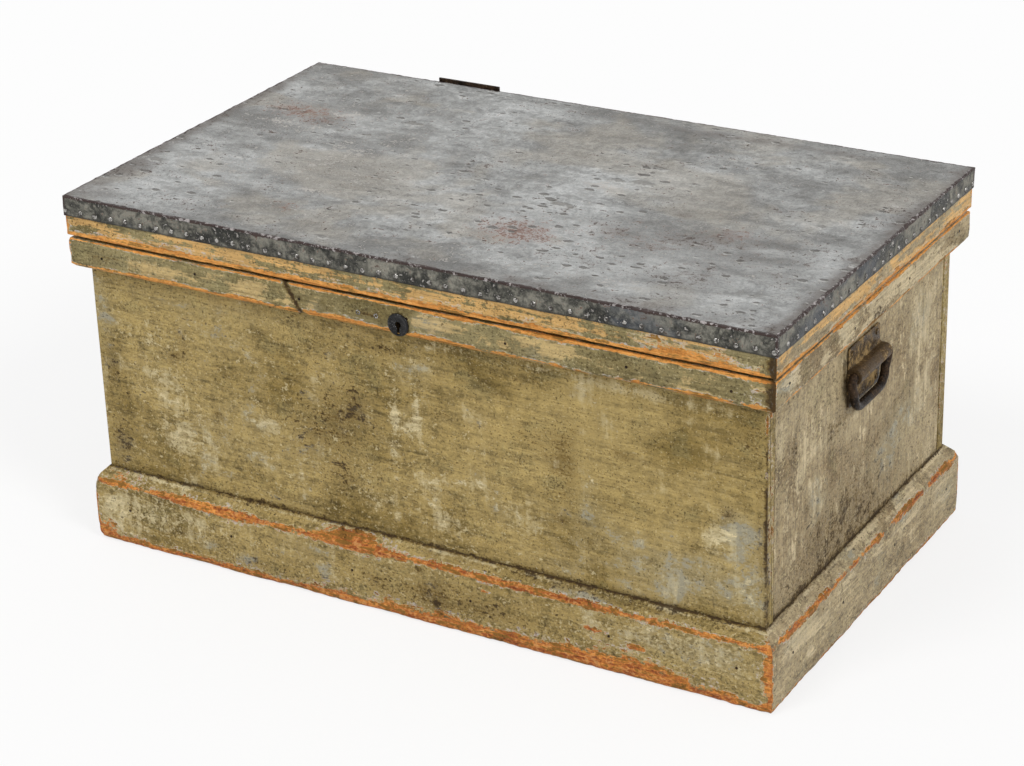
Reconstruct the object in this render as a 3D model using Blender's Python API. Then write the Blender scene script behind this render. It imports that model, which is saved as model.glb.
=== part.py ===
"""A pine tool chest: nailed carcase, base skirt, top band, sheet-metal clad lid, lock, lift rings and a till.

Metres, +Z up. +X runs along the chest, -Y is the front, and the origin is on the floor under its middle.
"""

import math

import bmesh
import bpy
from mathutils import Vector

# Clearances
GAP = 0.0003                # between two pieces that touch
LID_CLEARANCE = 0.002       # between the lid's rim and the carcase that it closes over
LID_GAP = 0.0035            # open seam between the lid's rim and the top band
SLIDE_CLEARANCE = 0.0015    # beside and above a sliding till
CUT_MARGIN = 0.004          # how far a cutter runs past the surface that it cuts

# Carcase: the front and back lap the ends
CARCASE_LENGTH = 0.973
CARCASE_DEPTH = 0.557
CARCASE_HEIGHT = 0.448
CARCASE_BOARD = 0.022

# Bottom
SKID_HEIGHT = 0.014
SKID_WIDTH = 0.060
SKID_SPACING = 0.200
SKID_END = 0.020            # how far a skid stops short of the carcase's end
BOTTOM_BOARD = 0.016
BOTTOM_BOARDS = 5

# Base skirt and top band
BASE_HEIGHT = 0.1067
BASE_BOARD = 0.0177
BASE_BEVEL = 0.0172         # the sloping top of the skirt
BASE_FOOT_BEVEL = 0.004
BAND_DROP = 0.0386          # from the carcase's top edge down to the band's
BAND_HEIGHT = 0.041
BAND_BOARD = 0.018
BAND_BEVEL = 0.005

# Lid
LID_BOARD = 0.020
RIM_BOARD = 0.0185
SHEET = 0.0008
SHEET_SKIRT = 0.0275        # how far the sheet is turned down over the rim
SHEET_FOLD = 0.0015         # outer radius of the sheet's folded edges

# Hinges
HINGE_WIDTH = 0.0985
HINGE_SPACING = 0.504       # from the middle of one hinge to the middle of the other
HINGE_LEAF = 0.0025
HINGE_KNUCKLES = 5
HINGE_LOWER_LEAF = 0.031
HINGE_PROUD = 0.004         # the left upper leaf was fitted high, and stands above the lid
HINGE_LOW = 0.006           # the right upper leaf ends below the lid's top
KNUCKLE_RADIUS = 0.005
PIN_RADIUS = 0.0025
PIN_HEAD_RADIUS = 0.0036
PIN_HEAD = 0.002
SCREW_HOLE_RADIUS = 0.0022
SCREW_EDGE = 0.010          # from a screw's middle to the edge of its plate

# Lift rings
RING_AXIS_DROP = 0.054      # from the band's lower edge down to the ring's axis
RING_OFFSET = -0.006        # the ring plates sit a little forward of the middle
RING_PLATE_WIDTH = 0.0955
RING_PLATE = 0.003
RING_PLATE_ABOVE = 0.036    # plate above and below the ring's axis
RING_PLATE_BELOW = 0.045
RING_ROD = 0.006
RING_PLAY = 0.0005          # between the rod and the barrel's bore
RING_STANDOFF = 0.001       # between the bore and the plate's face
BARREL_WALL = 0.003
RING_DROP = 0.045
RING_TOP_CORNER = 0.0085
RING_LOW_CORNER = 0.020

# Lock
LOCK_WIDTH = 0.090
LOCK_HEIGHT = 0.092
LOCK_DEPTH = 0.016
LOCK_WALL = 0.0015
KEY_HEIGHT = 0.0155         # from the band's lower edge up to the key's axis
KEY_RADIUS = 0.0042
KEY_SLOT = 0.0036
KEY_DROP = 0.0125
ESCUTCHEON_RADIUS = 0.0152
ESCUTCHEON = 0.0025
STAPLE_PLATE = Vector((0.052, 0.018, 0.002))
STAPLE_LOOP = Vector((0.004, 0.009, 0.022))
STAPLE_WIRE = 0.002         # thickness of the loop that the bolt goes through
STAPLE_PLAY = 0.0015        # room for the loop in the lock's top slot as the lid swings
BOLT_BODY = 0.026
BOLT_NOSE = 0.014
BOLT_HEIGHT = 0.007
BOLT_PLAY = 0.0006          # between the bolt's nose and the loop

# Till and its runners
TILL_DEPTH = 0.235
TILL_HEIGHT = 0.095
TILL_BOARD = 0.011
TILL_BOTTOM = 0.008
TILL_BELOW_RIM = 0.012
TILL_TAILS = 3
TAIL_ROOT = 0.017
TAIL_SLOPE = 1 / 7
RUNNER = 0.018
RUNNER_HEIGHT = 0.040

# Facets of round pieces
ROUND_SIDES = 16
ARC_STEPS = 5

# Levels and half sizes that follow from the sizes above
BOTTOM_Z = SKID_HEIGHT + GAP
CARCASE_Z = BOTTOM_Z + BOTTOM_BOARD + GAP
CARCASE_TOP = CARCASE_Z + CARCASE_HEIGHT
HALF_LENGTH = CARCASE_LENGTH / 2
HALF_DEPTH = CARCASE_DEPTH / 2
INSIDE_LENGTH = HALF_LENGTH - CARCASE_BOARD
INSIDE_DEPTH = HALF_DEPTH - CARCASE_BOARD
BAND_TOP = CARCASE_TOP - BAND_DROP
BAND_BOTTOM = BAND_TOP - BAND_HEIGHT
BAND_FACE = HALF_DEPTH + GAP + BAND_BOARD
RIM_BOTTOM = BAND_TOP + LID_GAP
PANEL_Z = CARCASE_TOP + GAP
LID_WOOD_TOP = PANEL_Z + LID_BOARD
LID_TOP = LID_WOOD_TOP + GAP + SHEET
RIM_OUT = LID_CLEARANCE + RIM_BOARD
SHEET_OUT = RIM_OUT + GAP + SHEET
HINGE_Y = HALF_DEPTH + RIM_OUT + KNUCKLE_RADIUS + 2 * GAP
HINGE_Z = BAND_TOP + LID_GAP / 2
RING_BORE = RING_ROD + RING_PLAY
RING_OUT = RING_PLATE + RING_STANDOFF + RING_BORE
RING_Z = BAND_BOTTOM - RING_AXIS_DROP
LOCK_TOP = CARCASE_TOP - GAP
LOCK_LOW = LOCK_TOP - LOCK_HEIGHT
LOCK_BACK = -INSIDE_DEPTH
LOCK_FRONT = LOCK_BACK - LOCK_DEPTH
STAPLE_Y = (LOCK_FRONT + LOCK_BACK) / 2
KEY_Z = BAND_BOTTOM + KEY_HEIGHT
STAPLE_EYE = STAPLE_LOOP.y - 2 * STAPLE_WIRE
EYE_HEIGHT = BOLT_HEIGHT + 2 * BOLT_PLAY
EYE_Z = PANEL_Z - STAPLE_LOOP.z + STAPLE_WIRE + EYE_HEIGHT / 2
TILL_Z = CARCASE_TOP - TILL_BELOW_RIM - TILL_HEIGHT


def clear_scene():
    for obj in list(bpy.data.objects):
        bpy.data.objects.remove(obj)


def make_material(name, colour, roughness, metallic=0.0):
    material = bpy.data.materials.new(name)
    material.use_nodes = True
    shader = material.node_tree.nodes["Principled BSDF"]
    shader.inputs["Base Color"].default_value = (*colour, 1)
    shader.inputs["Roughness"].default_value = roughness
    shader.inputs["Metallic"].default_value = metallic
    return material


def make_pivot(name, location):
    """An empty on a joint's axis, which carries the pieces that move together."""
    pivot = bpy.data.objects.new(name, None)
    pivot.location = location
    bpy.context.collection.objects.link(pivot)
    return pivot


def place(obj, location, parent=None, turn=0.0):
    """Links an object at a location in the chest's frame, whatever its parent."""
    bpy.context.collection.objects.link(obj)
    obj.parent = parent
    obj.location = Vector(location) - (parent.location if parent else Vector())
    obj.rotation_euler.z = turn


def add_mesh(name, shape, material, location=(0, 0, 0), parent=None, turn=0.0):
    """Makes an object of a bmesh. One without a material is a cutter or filler, which isn't rendered."""
    bmesh.ops.recalc_face_normals(shape, faces=shape.faces)
    mesh = bpy.data.meshes.new(name)
    shape.to_mesh(mesh)
    shape.free()
    obj = bpy.data.objects.new(name, mesh)
    place(obj, location, parent, turn)
    if material:
        mesh.materials.append(material)
    else:
        obj.hide_render = True
        obj.display_type = "WIRE"
    return obj


def smooth(obj):
    obj.data.shade_smooth()
    obj.data.set_sharp_from_angle(angle=math.radians(40))
    return obj


def boolean(obj, operation, other):
    modifier = obj.modifiers.new(operation.lower(), "BOOLEAN")
    modifier.operation = operation
    modifier.object = other
    modifier.solver = "EXACT"


def add_box(shape, low, high):
    """Adds a box with these two corners to a bmesh."""
    low, high = Vector(low), Vector(high)
    corners = bmesh.ops.create_cube(shape, size=1)["verts"]
    bmesh.ops.scale(shape, vec=high - low, verts=corners)
    bmesh.ops.translate(shape, vec=(low + high) / 2, verts=corners)


def add_prism(shape, outline, axis, start, end):
    """Adds an outline extruded along an axis. Its points have the other two axes, in X, Y, Z order."""
    rings = []
    for depth in (start, end):
        points = [list(point) for point in outline]
        for point in points:
            point.insert(axis, depth)
        rings.append([shape.verts.new(point) for point in points])
    add_loft(shape, *rings)


def add_loft(shape, near, far):
    """Closes the surface between two rings of vertices, and both ends."""
    shape.faces.new(near)
    shape.faces.new(far)
    for i in range(len(near)):
        j = (i + 1) % len(near)
        shape.faces.new((near[i], near[j], far[j], far[i]))


def circle(radius, centre=(0.0, 0.0), sides=ROUND_SIDES):
    turns = [2 * math.pi * (i + 0.5) / sides for i in range(sides)]
    return [(centre[0] + radius * math.cos(t), centre[1] + radius * math.sin(t)) for t in turns]


def make_board(name, low, high, material, parent=None):
    """A plain board between two corners in the chest's frame, with its origin in its middle."""
    low, high = Vector(low), Vector(high)
    shape = bmesh.new()
    add_box(shape, (low - high) / 2, (high - low) / 2)
    return add_mesh(name, shape, material, (low + high) / 2, parent)


def make_cutter(name, low, high, parent=None):
    return make_board(name, low, high, None, parent)


def side_names(prefix):
    return {side: f"{prefix}_{side}" for side in ("front", "back", "left", "right")}


# Carcase


def make_carcase(paint):
    """Four boards. The front and back run the full length and are nailed over the ends."""
    boards = {}
    for side, way in (("front", -1), ("back", 1)):
        near, far = sorted((way * HALF_DEPTH, way * INSIDE_DEPTH))
        low = (-HALF_LENGTH, near, CARCASE_Z)
        high = (HALF_LENGTH, far, CARCASE_TOP)
        boards[side] = make_board(f"{side}_board", low, high, paint)
    reach = INSIDE_DEPTH - GAP
    for side, way in (("left", -1), ("right", 1)):
        near, far = sorted((way * HALF_LENGTH, way * INSIDE_LENGTH))
        boards[side] = make_board(f"{side}_end", (near, -reach, CARCASE_Z), (far, reach, CARCASE_TOP), paint)
    return boards


def make_bottom(bare):
    """Boards from front to back under the carcase, on three skids that run along the chest."""
    width = (CARCASE_LENGTH - (BOTTOM_BOARDS - 1) * GAP) / BOTTOM_BOARDS
    for i in range(BOTTOM_BOARDS):
        left = -HALF_LENGTH + i * (width + GAP)
        low = (left, -HALF_DEPTH, BOTTOM_Z)
        high = (left + width, HALF_DEPTH, BOTTOM_Z + BOTTOM_BOARD)
        make_board(f"bottom_board_{i + 1}", low, high, bare)
    half = HALF_LENGTH - SKID_END
    for name, middle in (("front", -SKID_SPACING), ("middle", 0), ("back", SKID_SPACING)):
        low = (-half, middle - SKID_WIDTH / 2, 0)
        high = (half, middle + SKID_WIDTH / 2, SKID_HEIGHT)
        make_board(f"skid_{name}", low, high, bare)


# Mitred frames round the carcase


def make_mitred_frame(names, profile, material, parent=None):
    """Four strips round the carcase, mitred at the corners. profile has (outward, Z) points."""
    strips = {}
    mitre_gap = GAP / 2 * math.sqrt(2)
    level = parent.location.z if parent else 0
    sides = (
        ("front", HALF_LENGTH, HALF_DEPTH),
        ("right", HALF_DEPTH, HALF_LENGTH),
        ("back", HALF_LENGTH, HALF_DEPTH),
        ("left", HALF_DEPTH, HALF_LENGTH),
    )
    for quarter_turns, (side, run, stand_off) in enumerate(sides):
        shape = bmesh.new()
        ends = []
        for way in (-1, 1):
            points = [(way * (run + out - mitre_gap), -stand_off - out, z - level) for out, z in profile]
            ends.append([shape.verts.new(point) for point in points])
        add_loft(shape, *ends)
        turn = quarter_turns * math.pi / 2
        strips[side] = add_mesh(names[side], shape, material, (0, 0, level), parent, turn)
    return strips


def make_base_skirt(paint):
    inner = GAP
    outer = GAP + BASE_BOARD
    profile = [
        (inner, 0),
        (outer - BASE_FOOT_BEVEL, 0),
        (outer, BASE_FOOT_BEVEL),
        (outer, BASE_HEIGHT - BASE_BEVEL),
        (outer - BASE_BEVEL, BASE_HEIGHT),
        (inner, BASE_HEIGHT),
    ]
    make_mitred_frame(side_names("base_skirt"), profile, paint)


def make_top_band(paint):
    inner = GAP
    outer = GAP + BAND_BOARD
    profile = [
        (inner, BAND_BOTTOM),
        (outer - BAND_BEVEL, BAND_BOTTOM),
        (outer, BAND_BOTTOM + BAND_BEVEL),
        (outer, BAND_TOP),
        (inner, BAND_TOP),
    ]
    return make_mitred_frame(side_names("top_band"), profile, paint)


def make_lid_rim(pivot, paint):
    profile = [
        (LID_CLEARANCE, RIM_BOTTOM),
        (RIM_OUT, RIM_BOTTOM),
        (RIM_OUT, LID_WOOD_TOP),
        (LID_CLEARANCE, LID_WOOD_TOP),
    ]
    make_mitred_frame(side_names("lid_rim"), profile, paint, pivot)


# Lid


def make_lid_boards(pivot, bare):
    """The lid's panel: boards along the chest, inside the rim."""
    half_length = HALF_LENGTH + LID_CLEARANCE - GAP
    half_depth = HALF_DEPTH + LID_CLEARANCE - GAP
    names = ("front", "middle", "rear")
    width = (2 * half_depth - (len(names) - 1) * GAP) / len(names)
    boards = {}
    for i, name in enumerate(names):
        front = -half_depth + i * (width + GAP)
        low = (-half_length, front, PANEL_Z)
        high = (half_length, front + width, LID_WOOD_TOP)
        boards[name] = make_board(f"lid_board_{name}", low, high, bare, pivot)
    return boards


def make_lid_sheet(pivot, metal):
    """One sheet of metal over the lid's top, turned down over the rim on all four sides."""
    half_length = HALF_LENGTH + SHEET_OUT
    half_depth = HALF_DEPTH + SHEET_OUT
    shape = bmesh.new()
    add_box(shape, (-half_length, -half_depth, -SHEET_SKIRT), (half_length, half_depth, 0))
    under = [face for face in shape.faces if face.calc_center_median().z < -0.9 * SHEET_SKIRT]
    bmesh.ops.delete(shape, geom=under, context="FACES_ONLY")
    folds = [edge for edge in shape.edges if len(edge.link_faces) == 2]
    bmesh.ops.bevel(shape, geom=folds, offset=SHEET_FOLD, segments=2, profile=0.5, affect="EDGES")
    sheet = smooth(add_mesh("lid_sheet", shape, metal, (0, 0, LID_TOP), pivot))
    thicken = sheet.modifiers.new("thickness", "SOLIDIFY")
    thicken.thickness = SHEET
    thicken.offset = -1
    thicken.use_even_offset = True


# Hinges


def hinge_segments():
    """The knuckles' (start, end) along the pin, from the hinge's middle."""
    width = (HINGE_WIDTH - (HINGE_KNUCKLES - 1) * GAP) / HINGE_KNUCKLES
    starts = [-HINGE_WIDTH / 2 + i * (width + GAP) for i in range(HINGE_KNUCKLES)]
    return [(start, start + width) for start in starts]


def make_hinge_leaf(name, x, segments, plate, web, screws, iron, pivot=None):
    """A plate with knuckles and screw holes. plate and web have two (Y, Z) corners, from the pin's axis."""
    half = HINGE_WIDTH / 2
    axis = (x, HINGE_Y, HINGE_Z)
    shape = bmesh.new()
    add_box(shape, (-half, *plate[0]), (half, *plate[1]))
    leaf = smooth(add_mesh(name, shape, iron, axis, pivot))

    webs = bmesh.new()
    knuckles = bmesh.new()
    for start, end in segments:
        add_box(webs, (start, *web[0]), (end, *web[1]))
        add_prism(knuckles, circle(KNUCKLE_RADIUS), 0, start, end)
    boolean(leaf, "UNION", add_mesh(f"{name}_webs", webs, None, axis, pivot))
    boolean(leaf, "UNION", smooth(add_mesh(f"{name}_knuckles", knuckles, None, axis, pivot)))

    holes = bmesh.new()
    add_prism(holes, circle(PIN_RADIUS + GAP), 0, -half - CUT_MARGIN, half + CUT_MARGIN)
    for screw in screws:
        outline = circle(SCREW_HOLE_RADIUS, screw, sides=8)
        add_prism(holes, outline, 1, plate[0][0] - CUT_MARGIN, plate[1][0] + CUT_MARGIN)
    boolean(leaf, "DIFFERENCE", smooth(add_mesh(f"{name}_holes", holes, None, axis, pivot)))


def make_hinge_pin(side, x, iron):
    """A pin with a button head at each end of the knuckles."""
    axis = (x, HINGE_Y, HINGE_Z)
    half = HINGE_WIDTH / 2 + GAP
    shape = bmesh.new()
    add_prism(shape, circle(PIN_RADIUS), 0, -half - PIN_HEAD / 2, half + PIN_HEAD / 2)
    pin = smooth(add_mesh(f"hinge_{side}_pin", shape, iron, axis))
    heads = bmesh.new()
    for way in (-1, 1):
        start, end = sorted((way * half, way * (half + PIN_HEAD)))
        add_prism(heads, circle(PIN_HEAD_RADIUS), 0, start, end)
    boolean(pin, "UNION", smooth(add_mesh(f"hinge_{side}_pin_heads", heads, None, axis)))


def make_hinge(side, x, upper_top, pivot, iron):
    """A butt hinge on the back of the band and lid. upper_top is the height of its upper leaf's edge."""
    segments = hinge_segments()
    clear = KNUCKLE_RADIUS + 2 * GAP
    screw_x = HINGE_WIDTH / 2 - SCREW_EDGE

    back = BAND_FACE + GAP - HINGE_Y
    plate = ((back, -clear - HINGE_LOWER_LEAF), (back + HINGE_LEAF, -clear))
    web = ((back, -clear - HINGE_LEAF), (0, 0))
    screw_z = -clear - HINGE_LOWER_LEAF / 2
    screws = [(-screw_x, screw_z), (0, screw_z), (screw_x, screw_z)]
    make_hinge_leaf(f"hinge_{side}_lower_leaf", x, segments[0::2], plate, web, screws, iron)

    back = HALF_DEPTH + SHEET_OUT + GAP - HINGE_Y
    top = upper_top - HINGE_Z
    plate = ((back, clear), (back + HINGE_LEAF, top))
    web = ((back, 0), (back + HINGE_LEAF, clear + HINGE_LEAF))
    screws = [(way * screw_x, z) for way in (-1, 1) for z in (clear + SCREW_EDGE, top - SCREW_EDGE)]
    make_hinge_leaf(f"hinge_{side}_upper_leaf", x, segments[1::2], plate, web, screws, iron, pivot)

    make_hinge_pin(side, x, iron)


# Lift rings on the ends


def ring_path():
    """The ring's centreline in Y and Z from its axis: a long loop with round corners, anticlockwise."""
    half = RING_PLATE_WIDTH / 2 + GAP + RING_TOP_CORNER
    corners = (
        (half - RING_TOP_CORNER, -RING_TOP_CORNER, RING_TOP_CORNER, 0),
        (RING_TOP_CORNER - half, -RING_TOP_CORNER, RING_TOP_CORNER, 90),
        (RING_LOW_CORNER - half, RING_LOW_CORNER - RING_DROP, RING_LOW_CORNER, 180),
        (half - RING_LOW_CORNER, RING_LOW_CORNER - RING_DROP, RING_LOW_CORNER, 270),
    )
    points = []
    for y, z, radius, first in corners:
        for step in range(ARC_STEPS + 1):
            turn = math.radians(first + 90 * step / ARC_STEPS)
            points.append((y + radius * math.cos(turn), z + radius * math.sin(turn)))
    return points


def make_ring_plate(name, axis, way, iron):
    """A plate with a barrel rolled across it, from the ring's axis. way is the end's side in X."""
    half = RING_PLATE_WIDTH / 2
    back, front = sorted((-way * RING_OUT, -way * (RING_OUT - RING_PLATE)))
    shape = bmesh.new()
    add_box(shape, (back, -half, -RING_PLATE_BELOW), (front, half, RING_PLATE_ABOVE))
    plate = smooth(add_mesh(name, shape, iron, axis))

    barrel = bmesh.new()
    add_prism(barrel, circle(RING_BORE + BARREL_WALL), 1, -half, half)
    boolean(plate, "UNION", smooth(add_mesh(f"{name}_barrel", barrel, None, axis)))

    holes = bmesh.new()
    add_prism(holes, circle(RING_BORE), 1, -half - CUT_MARGIN, half + CUT_MARGIN)
    for y in (SCREW_EDGE - half, half - SCREW_EDGE):
        for z in (SCREW_EDGE - RING_PLATE_BELOW, RING_PLATE_ABOVE - SCREW_EDGE):
            outline = circle(SCREW_HOLE_RADIUS, (y, z), sides=8)
            add_prism(holes, outline, 0, back - CUT_MARGIN, front + CUT_MARGIN)
    boolean(plate, "DIFFERENCE", smooth(add_mesh(f"{name}_holes", holes, None, axis)))


def make_ring(name, axis, iron):
    """A bent rod that hangs in the plate's barrel, with its origin on the barrel's axis."""
    curve = bpy.data.curves.new(name, "CURVE")
    curve.dimensions = "3D"
    curve.bevel_depth = RING_ROD
    curve.bevel_resolution = 2
    path = ring_path()
    spline = curve.splines.new("POLY")
    spline.points.add(len(path) - 1)
    for point, (y, z) in zip(spline.points, path):
        point.co = (0, y, z, 1)
    spline.use_cyclic_u = True
    curve.materials.append(iron)
    place(bpy.data.objects.new(name, curve), axis)


def make_lift_rings(iron):
    for side, way in (("left", -1), ("right", 1)):
        axis = (way * (HALF_LENGTH + GAP + RING_OUT), RING_OFFSET, RING_Z)
        make_ring_plate(f"ring_plate_{side}", axis, way, iron)
        make_ring(f"lift_ring_{side}", axis, iron)


# Lock


def keyhole_outline(grow=0.0):
    """A round hole with a slot below it, in X and Z from the key's axis."""
    radius = KEY_RADIUS + grow
    half = KEY_SLOT / 2 + grow
    start = math.asin(half / radius) - math.pi / 2
    end = math.pi - start
    steps = 2 * ARC_STEPS
    turns = [start + (end - start) * i / steps for i in range(steps + 1)]
    arc = [(radius * math.cos(t), radius * math.sin(t)) for t in turns]
    return arc + [(-half, -KEY_DROP - grow), (half, -KEY_DROP - grow)]


def make_keyhole_cutter(name, front, back, grow=0.0):
    shape = bmesh.new()
    add_prism(shape, keyhole_outline(grow), 1, front, back)
    return add_mesh(name, shape, None, (0, 0, KEY_Z))


def make_lock_case(front_board, iron):
    """A hollow box let into the inside of the front board, with a slot on top for the staple."""
    half = LOCK_WIDTH / 2
    low = Vector((-half, LOCK_FRONT, LOCK_LOW))
    high = Vector((half, LOCK_BACK, LOCK_TOP))
    case = make_board("lock_case", low, high, iron)

    room = Vector((GAP, GAP, GAP))
    past = Vector((GAP, CUT_MARGIN, CUT_MARGIN))
    boolean(front_board, "DIFFERENCE", make_cutter("lock_pocket", low - room, high + past))

    wall = Vector((LOCK_WALL, LOCK_WALL, LOCK_WALL))
    boolean(case, "DIFFERENCE", make_cutter("lock_hollow", low + wall, high - wall))
    slot_x = STAPLE_LOOP.x / 2 + STAPLE_PLAY
    slot_y = STAPLE_LOOP.y / 2 + STAPLE_PLAY
    slot_low = (-slot_x, STAPLE_Y - slot_y, LOCK_TOP - LOCK_WALL - CUT_MARGIN)
    slot_high = (slot_x, STAPLE_Y + slot_y, LOCK_TOP + CUT_MARGIN)
    boolean(case, "DIFFERENCE", make_cutter("lock_staple_slot", slot_low, slot_high))
    keyhole = make_keyhole_cutter("lock_keyhole", LOCK_FRONT - CUT_MARGIN, LOCK_FRONT + 2 * LOCK_WALL)
    boolean(case, "DIFFERENCE", keyhole)


def make_lock_bolt(iron):
    """A block that fills the lock's depth, with a nose that slides along the chest through the staple."""
    half_z = BOLT_HEIGHT / 2
    body_y = LOCK_DEPTH / 2 - LOCK_WALL - GAP
    nose_y = STAPLE_EYE / 2 - BOLT_PLAY
    tip = -STAPLE_LOOP.x / 2 - STAPLE_PLAY
    root = tip - BOLT_NOSE
    outline = [
        (root - BOLT_BODY, -body_y),
        (root, -body_y),
        (root, -nose_y),
        (tip, -nose_y),
        (tip, nose_y),
        (root, nose_y),
        (root, body_y),
        (root - BOLT_BODY, body_y),
    ]
    shape = bmesh.new()
    add_prism(shape, outline, 2, -half_z, half_z)
    add_mesh("lock_bolt", shape, iron, (0, STAPLE_Y, EYE_Z))


def make_lock_staple(lid_board, pivot, iron):
    """A plate let into the underside of the lid, with a loop that drops into the lock."""
    half = STAPLE_PLATE / 2
    middle = Vector((0, STAPLE_Y, PANEL_Z + half.z))
    room = Vector((GAP, GAP, GAP))
    past = Vector((GAP, GAP, CUT_MARGIN))
    recess = make_cutter("staple_recess", middle - half - past, middle + half + room, pivot)
    boolean(lid_board, "DIFFERENCE", recess)
    staple = make_board("lock_staple", middle - half, middle + half, iron, pivot)

    loop_low = (-STAPLE_LOOP.x / 2, STAPLE_Y - STAPLE_LOOP.y / 2, PANEL_Z - STAPLE_LOOP.z)
    loop_high = (STAPLE_LOOP.x / 2, STAPLE_Y + STAPLE_LOOP.y / 2, PANEL_Z + half.z)
    boolean(staple, "UNION", make_cutter("staple_loop", loop_low, loop_high, pivot))
    eye_low = (-STAPLE_LOOP.x, STAPLE_Y - STAPLE_EYE / 2, EYE_Z - EYE_HEIGHT / 2)
    eye_high = (STAPLE_LOOP.x, STAPLE_Y + STAPLE_EYE / 2, EYE_Z + EYE_HEIGHT / 2)
    boolean(staple, "DIFFERENCE", make_cutter("staple_eye", eye_low, eye_high, pivot))


def make_escutcheon(iron):
    """A disc with a keyhole, on the front of the top band."""
    shape = bmesh.new()
    add_prism(shape, circle(ESCUTCHEON_RADIUS, sides=2 * ROUND_SIDES), 1, -ESCUTCHEON, 0)
    disc = smooth(add_mesh("escutcheon", shape, iron, (0, -BAND_FACE - GAP, KEY_Z)))
    front = -BAND_FACE - GAP - ESCUTCHEON - CUT_MARGIN
    boolean(disc, "DIFFERENCE", make_keyhole_cutter("escutcheon_keyhole", front, -BAND_FACE))


def make_lock(front_board, band_front, lid_board, pivot, iron):
    make_lock_case(front_board, iron)
    make_lock_bolt(iron)
    make_lock_staple(lid_board, pivot, iron)
    make_escutcheon(iron)
    front = -BAND_FACE - CUT_MARGIN
    through = make_keyhole_cutter("keyhole_through", front, LOCK_FRONT, GAP)
    boolean(front_board, "DIFFERENCE", through)
    boolean(band_front, "DIFFERENCE", through)


# Till


def tail_centres(height):
    pitch = height / TILL_TAILS
    return [(i + 0.5) * pitch for i in range(TILL_TAILS)]


def tail_outline(length, height):
    """A till board's outline in X and Z, with dovetails at both ends that lap the till's ends."""
    shoulder = length / 2 - TILL_BOARD - GAP
    root = TAIL_ROOT / 2
    tip = root + TILL_BOARD * TAIL_SLOPE
    right = [(shoulder, 0.0)]
    for middle in tail_centres(height):
        right.append((shoulder, middle - root))
        right.append((length / 2, middle - tip))
        right.append((length / 2, middle + tip))
        right.append((shoulder, middle + root))
    right.append((shoulder, height))
    return right + [(-x, z) for x, z in reversed(right)]


def add_tail_sockets(shape, length, height, way):
    """Adds the sockets that the tails need in the till's end on one side, with a gap round them."""
    inner = length / 2 - TILL_BOARD - CUT_MARGIN
    outer = length / 2 + CUT_MARGIN
    inner_half = TAIL_ROOT / 2 + GAP - CUT_MARGIN * TAIL_SLOPE
    outer_half = inner_half + (outer - inner) * TAIL_SLOPE
    depth = TILL_DEPTH / 2
    for middle in tail_centres(height):
        outline = [
            (way * inner, middle - inner_half),
            (way * outer, middle - outer_half),
            (way * outer, middle + outer_half),
            (way * inner, middle + inner_half),
        ]
        add_prism(shape, outline, 1, -depth - CUT_MARGIN, -depth + TILL_BOARD + GAP)
        add_prism(shape, outline, 1, depth - TILL_BOARD - GAP, depth + CUT_MARGIN)


def make_till(bare):
    """A dovetailed tray on a nailed bottom, at the back of the chest."""
    pivot = make_pivot("till_slide", (0, 0, TILL_Z))
    names = side_names("till")
    length = 2 * (INSIDE_LENGTH - SLIDE_CLEARANCE)
    middle_y = INSIDE_DEPTH - SLIDE_CLEARANCE - TILL_DEPTH / 2
    half = Vector((length / 2, TILL_DEPTH / 2, TILL_BOTTOM / 2))
    bottom = Vector((0, middle_y, TILL_Z + TILL_BOTTOM / 2))
    make_board("till_bottom", bottom - half, bottom + half, bare, pivot)

    centre = Vector((0, middle_y, TILL_Z + TILL_BOTTOM + GAP))
    height = TILL_HEIGHT - TILL_BOTTOM - GAP
    for side, way in (("front", -1), ("back", 1)):
        shape = bmesh.new()
        add_prism(shape, tail_outline(length, height), 1, -TILL_BOARD / 2, TILL_BOARD / 2)
        offset = Vector((0, way * (TILL_DEPTH - TILL_BOARD) / 2, 0))
        add_mesh(names[side], shape, bare, centre + offset, pivot)
    for side, way in (("left", -1), ("right", 1)):
        near, far = sorted((way * length / 2, way * (length / 2 - TILL_BOARD)))
        low = centre + Vector((near, -TILL_DEPTH / 2, 0))
        high = centre + Vector((far, TILL_DEPTH / 2, height))
        end = make_board(names[side], low, high, bare, pivot)
        sockets = bmesh.new()
        add_tail_sockets(sockets, length, height, way)
        boolean(end, "DIFFERENCE", add_mesh(f"{names[side]}_sockets", sockets, None, centre, pivot))


def make_runners(bare):
    """Strips on the inside of the ends, which the till slides on."""
    reach = INSIDE_DEPTH - GAP
    top = TILL_Z - GAP
    for side, way in (("left", -1), ("right", 1)):
        face = way * (INSIDE_LENGTH - GAP)
        near, far = sorted((face, face - way * RUNNER))
        make_board(f"till_runner_{side}", (near, -reach, top - RUNNER_HEIGHT), (far, reach, top), bare)


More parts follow.
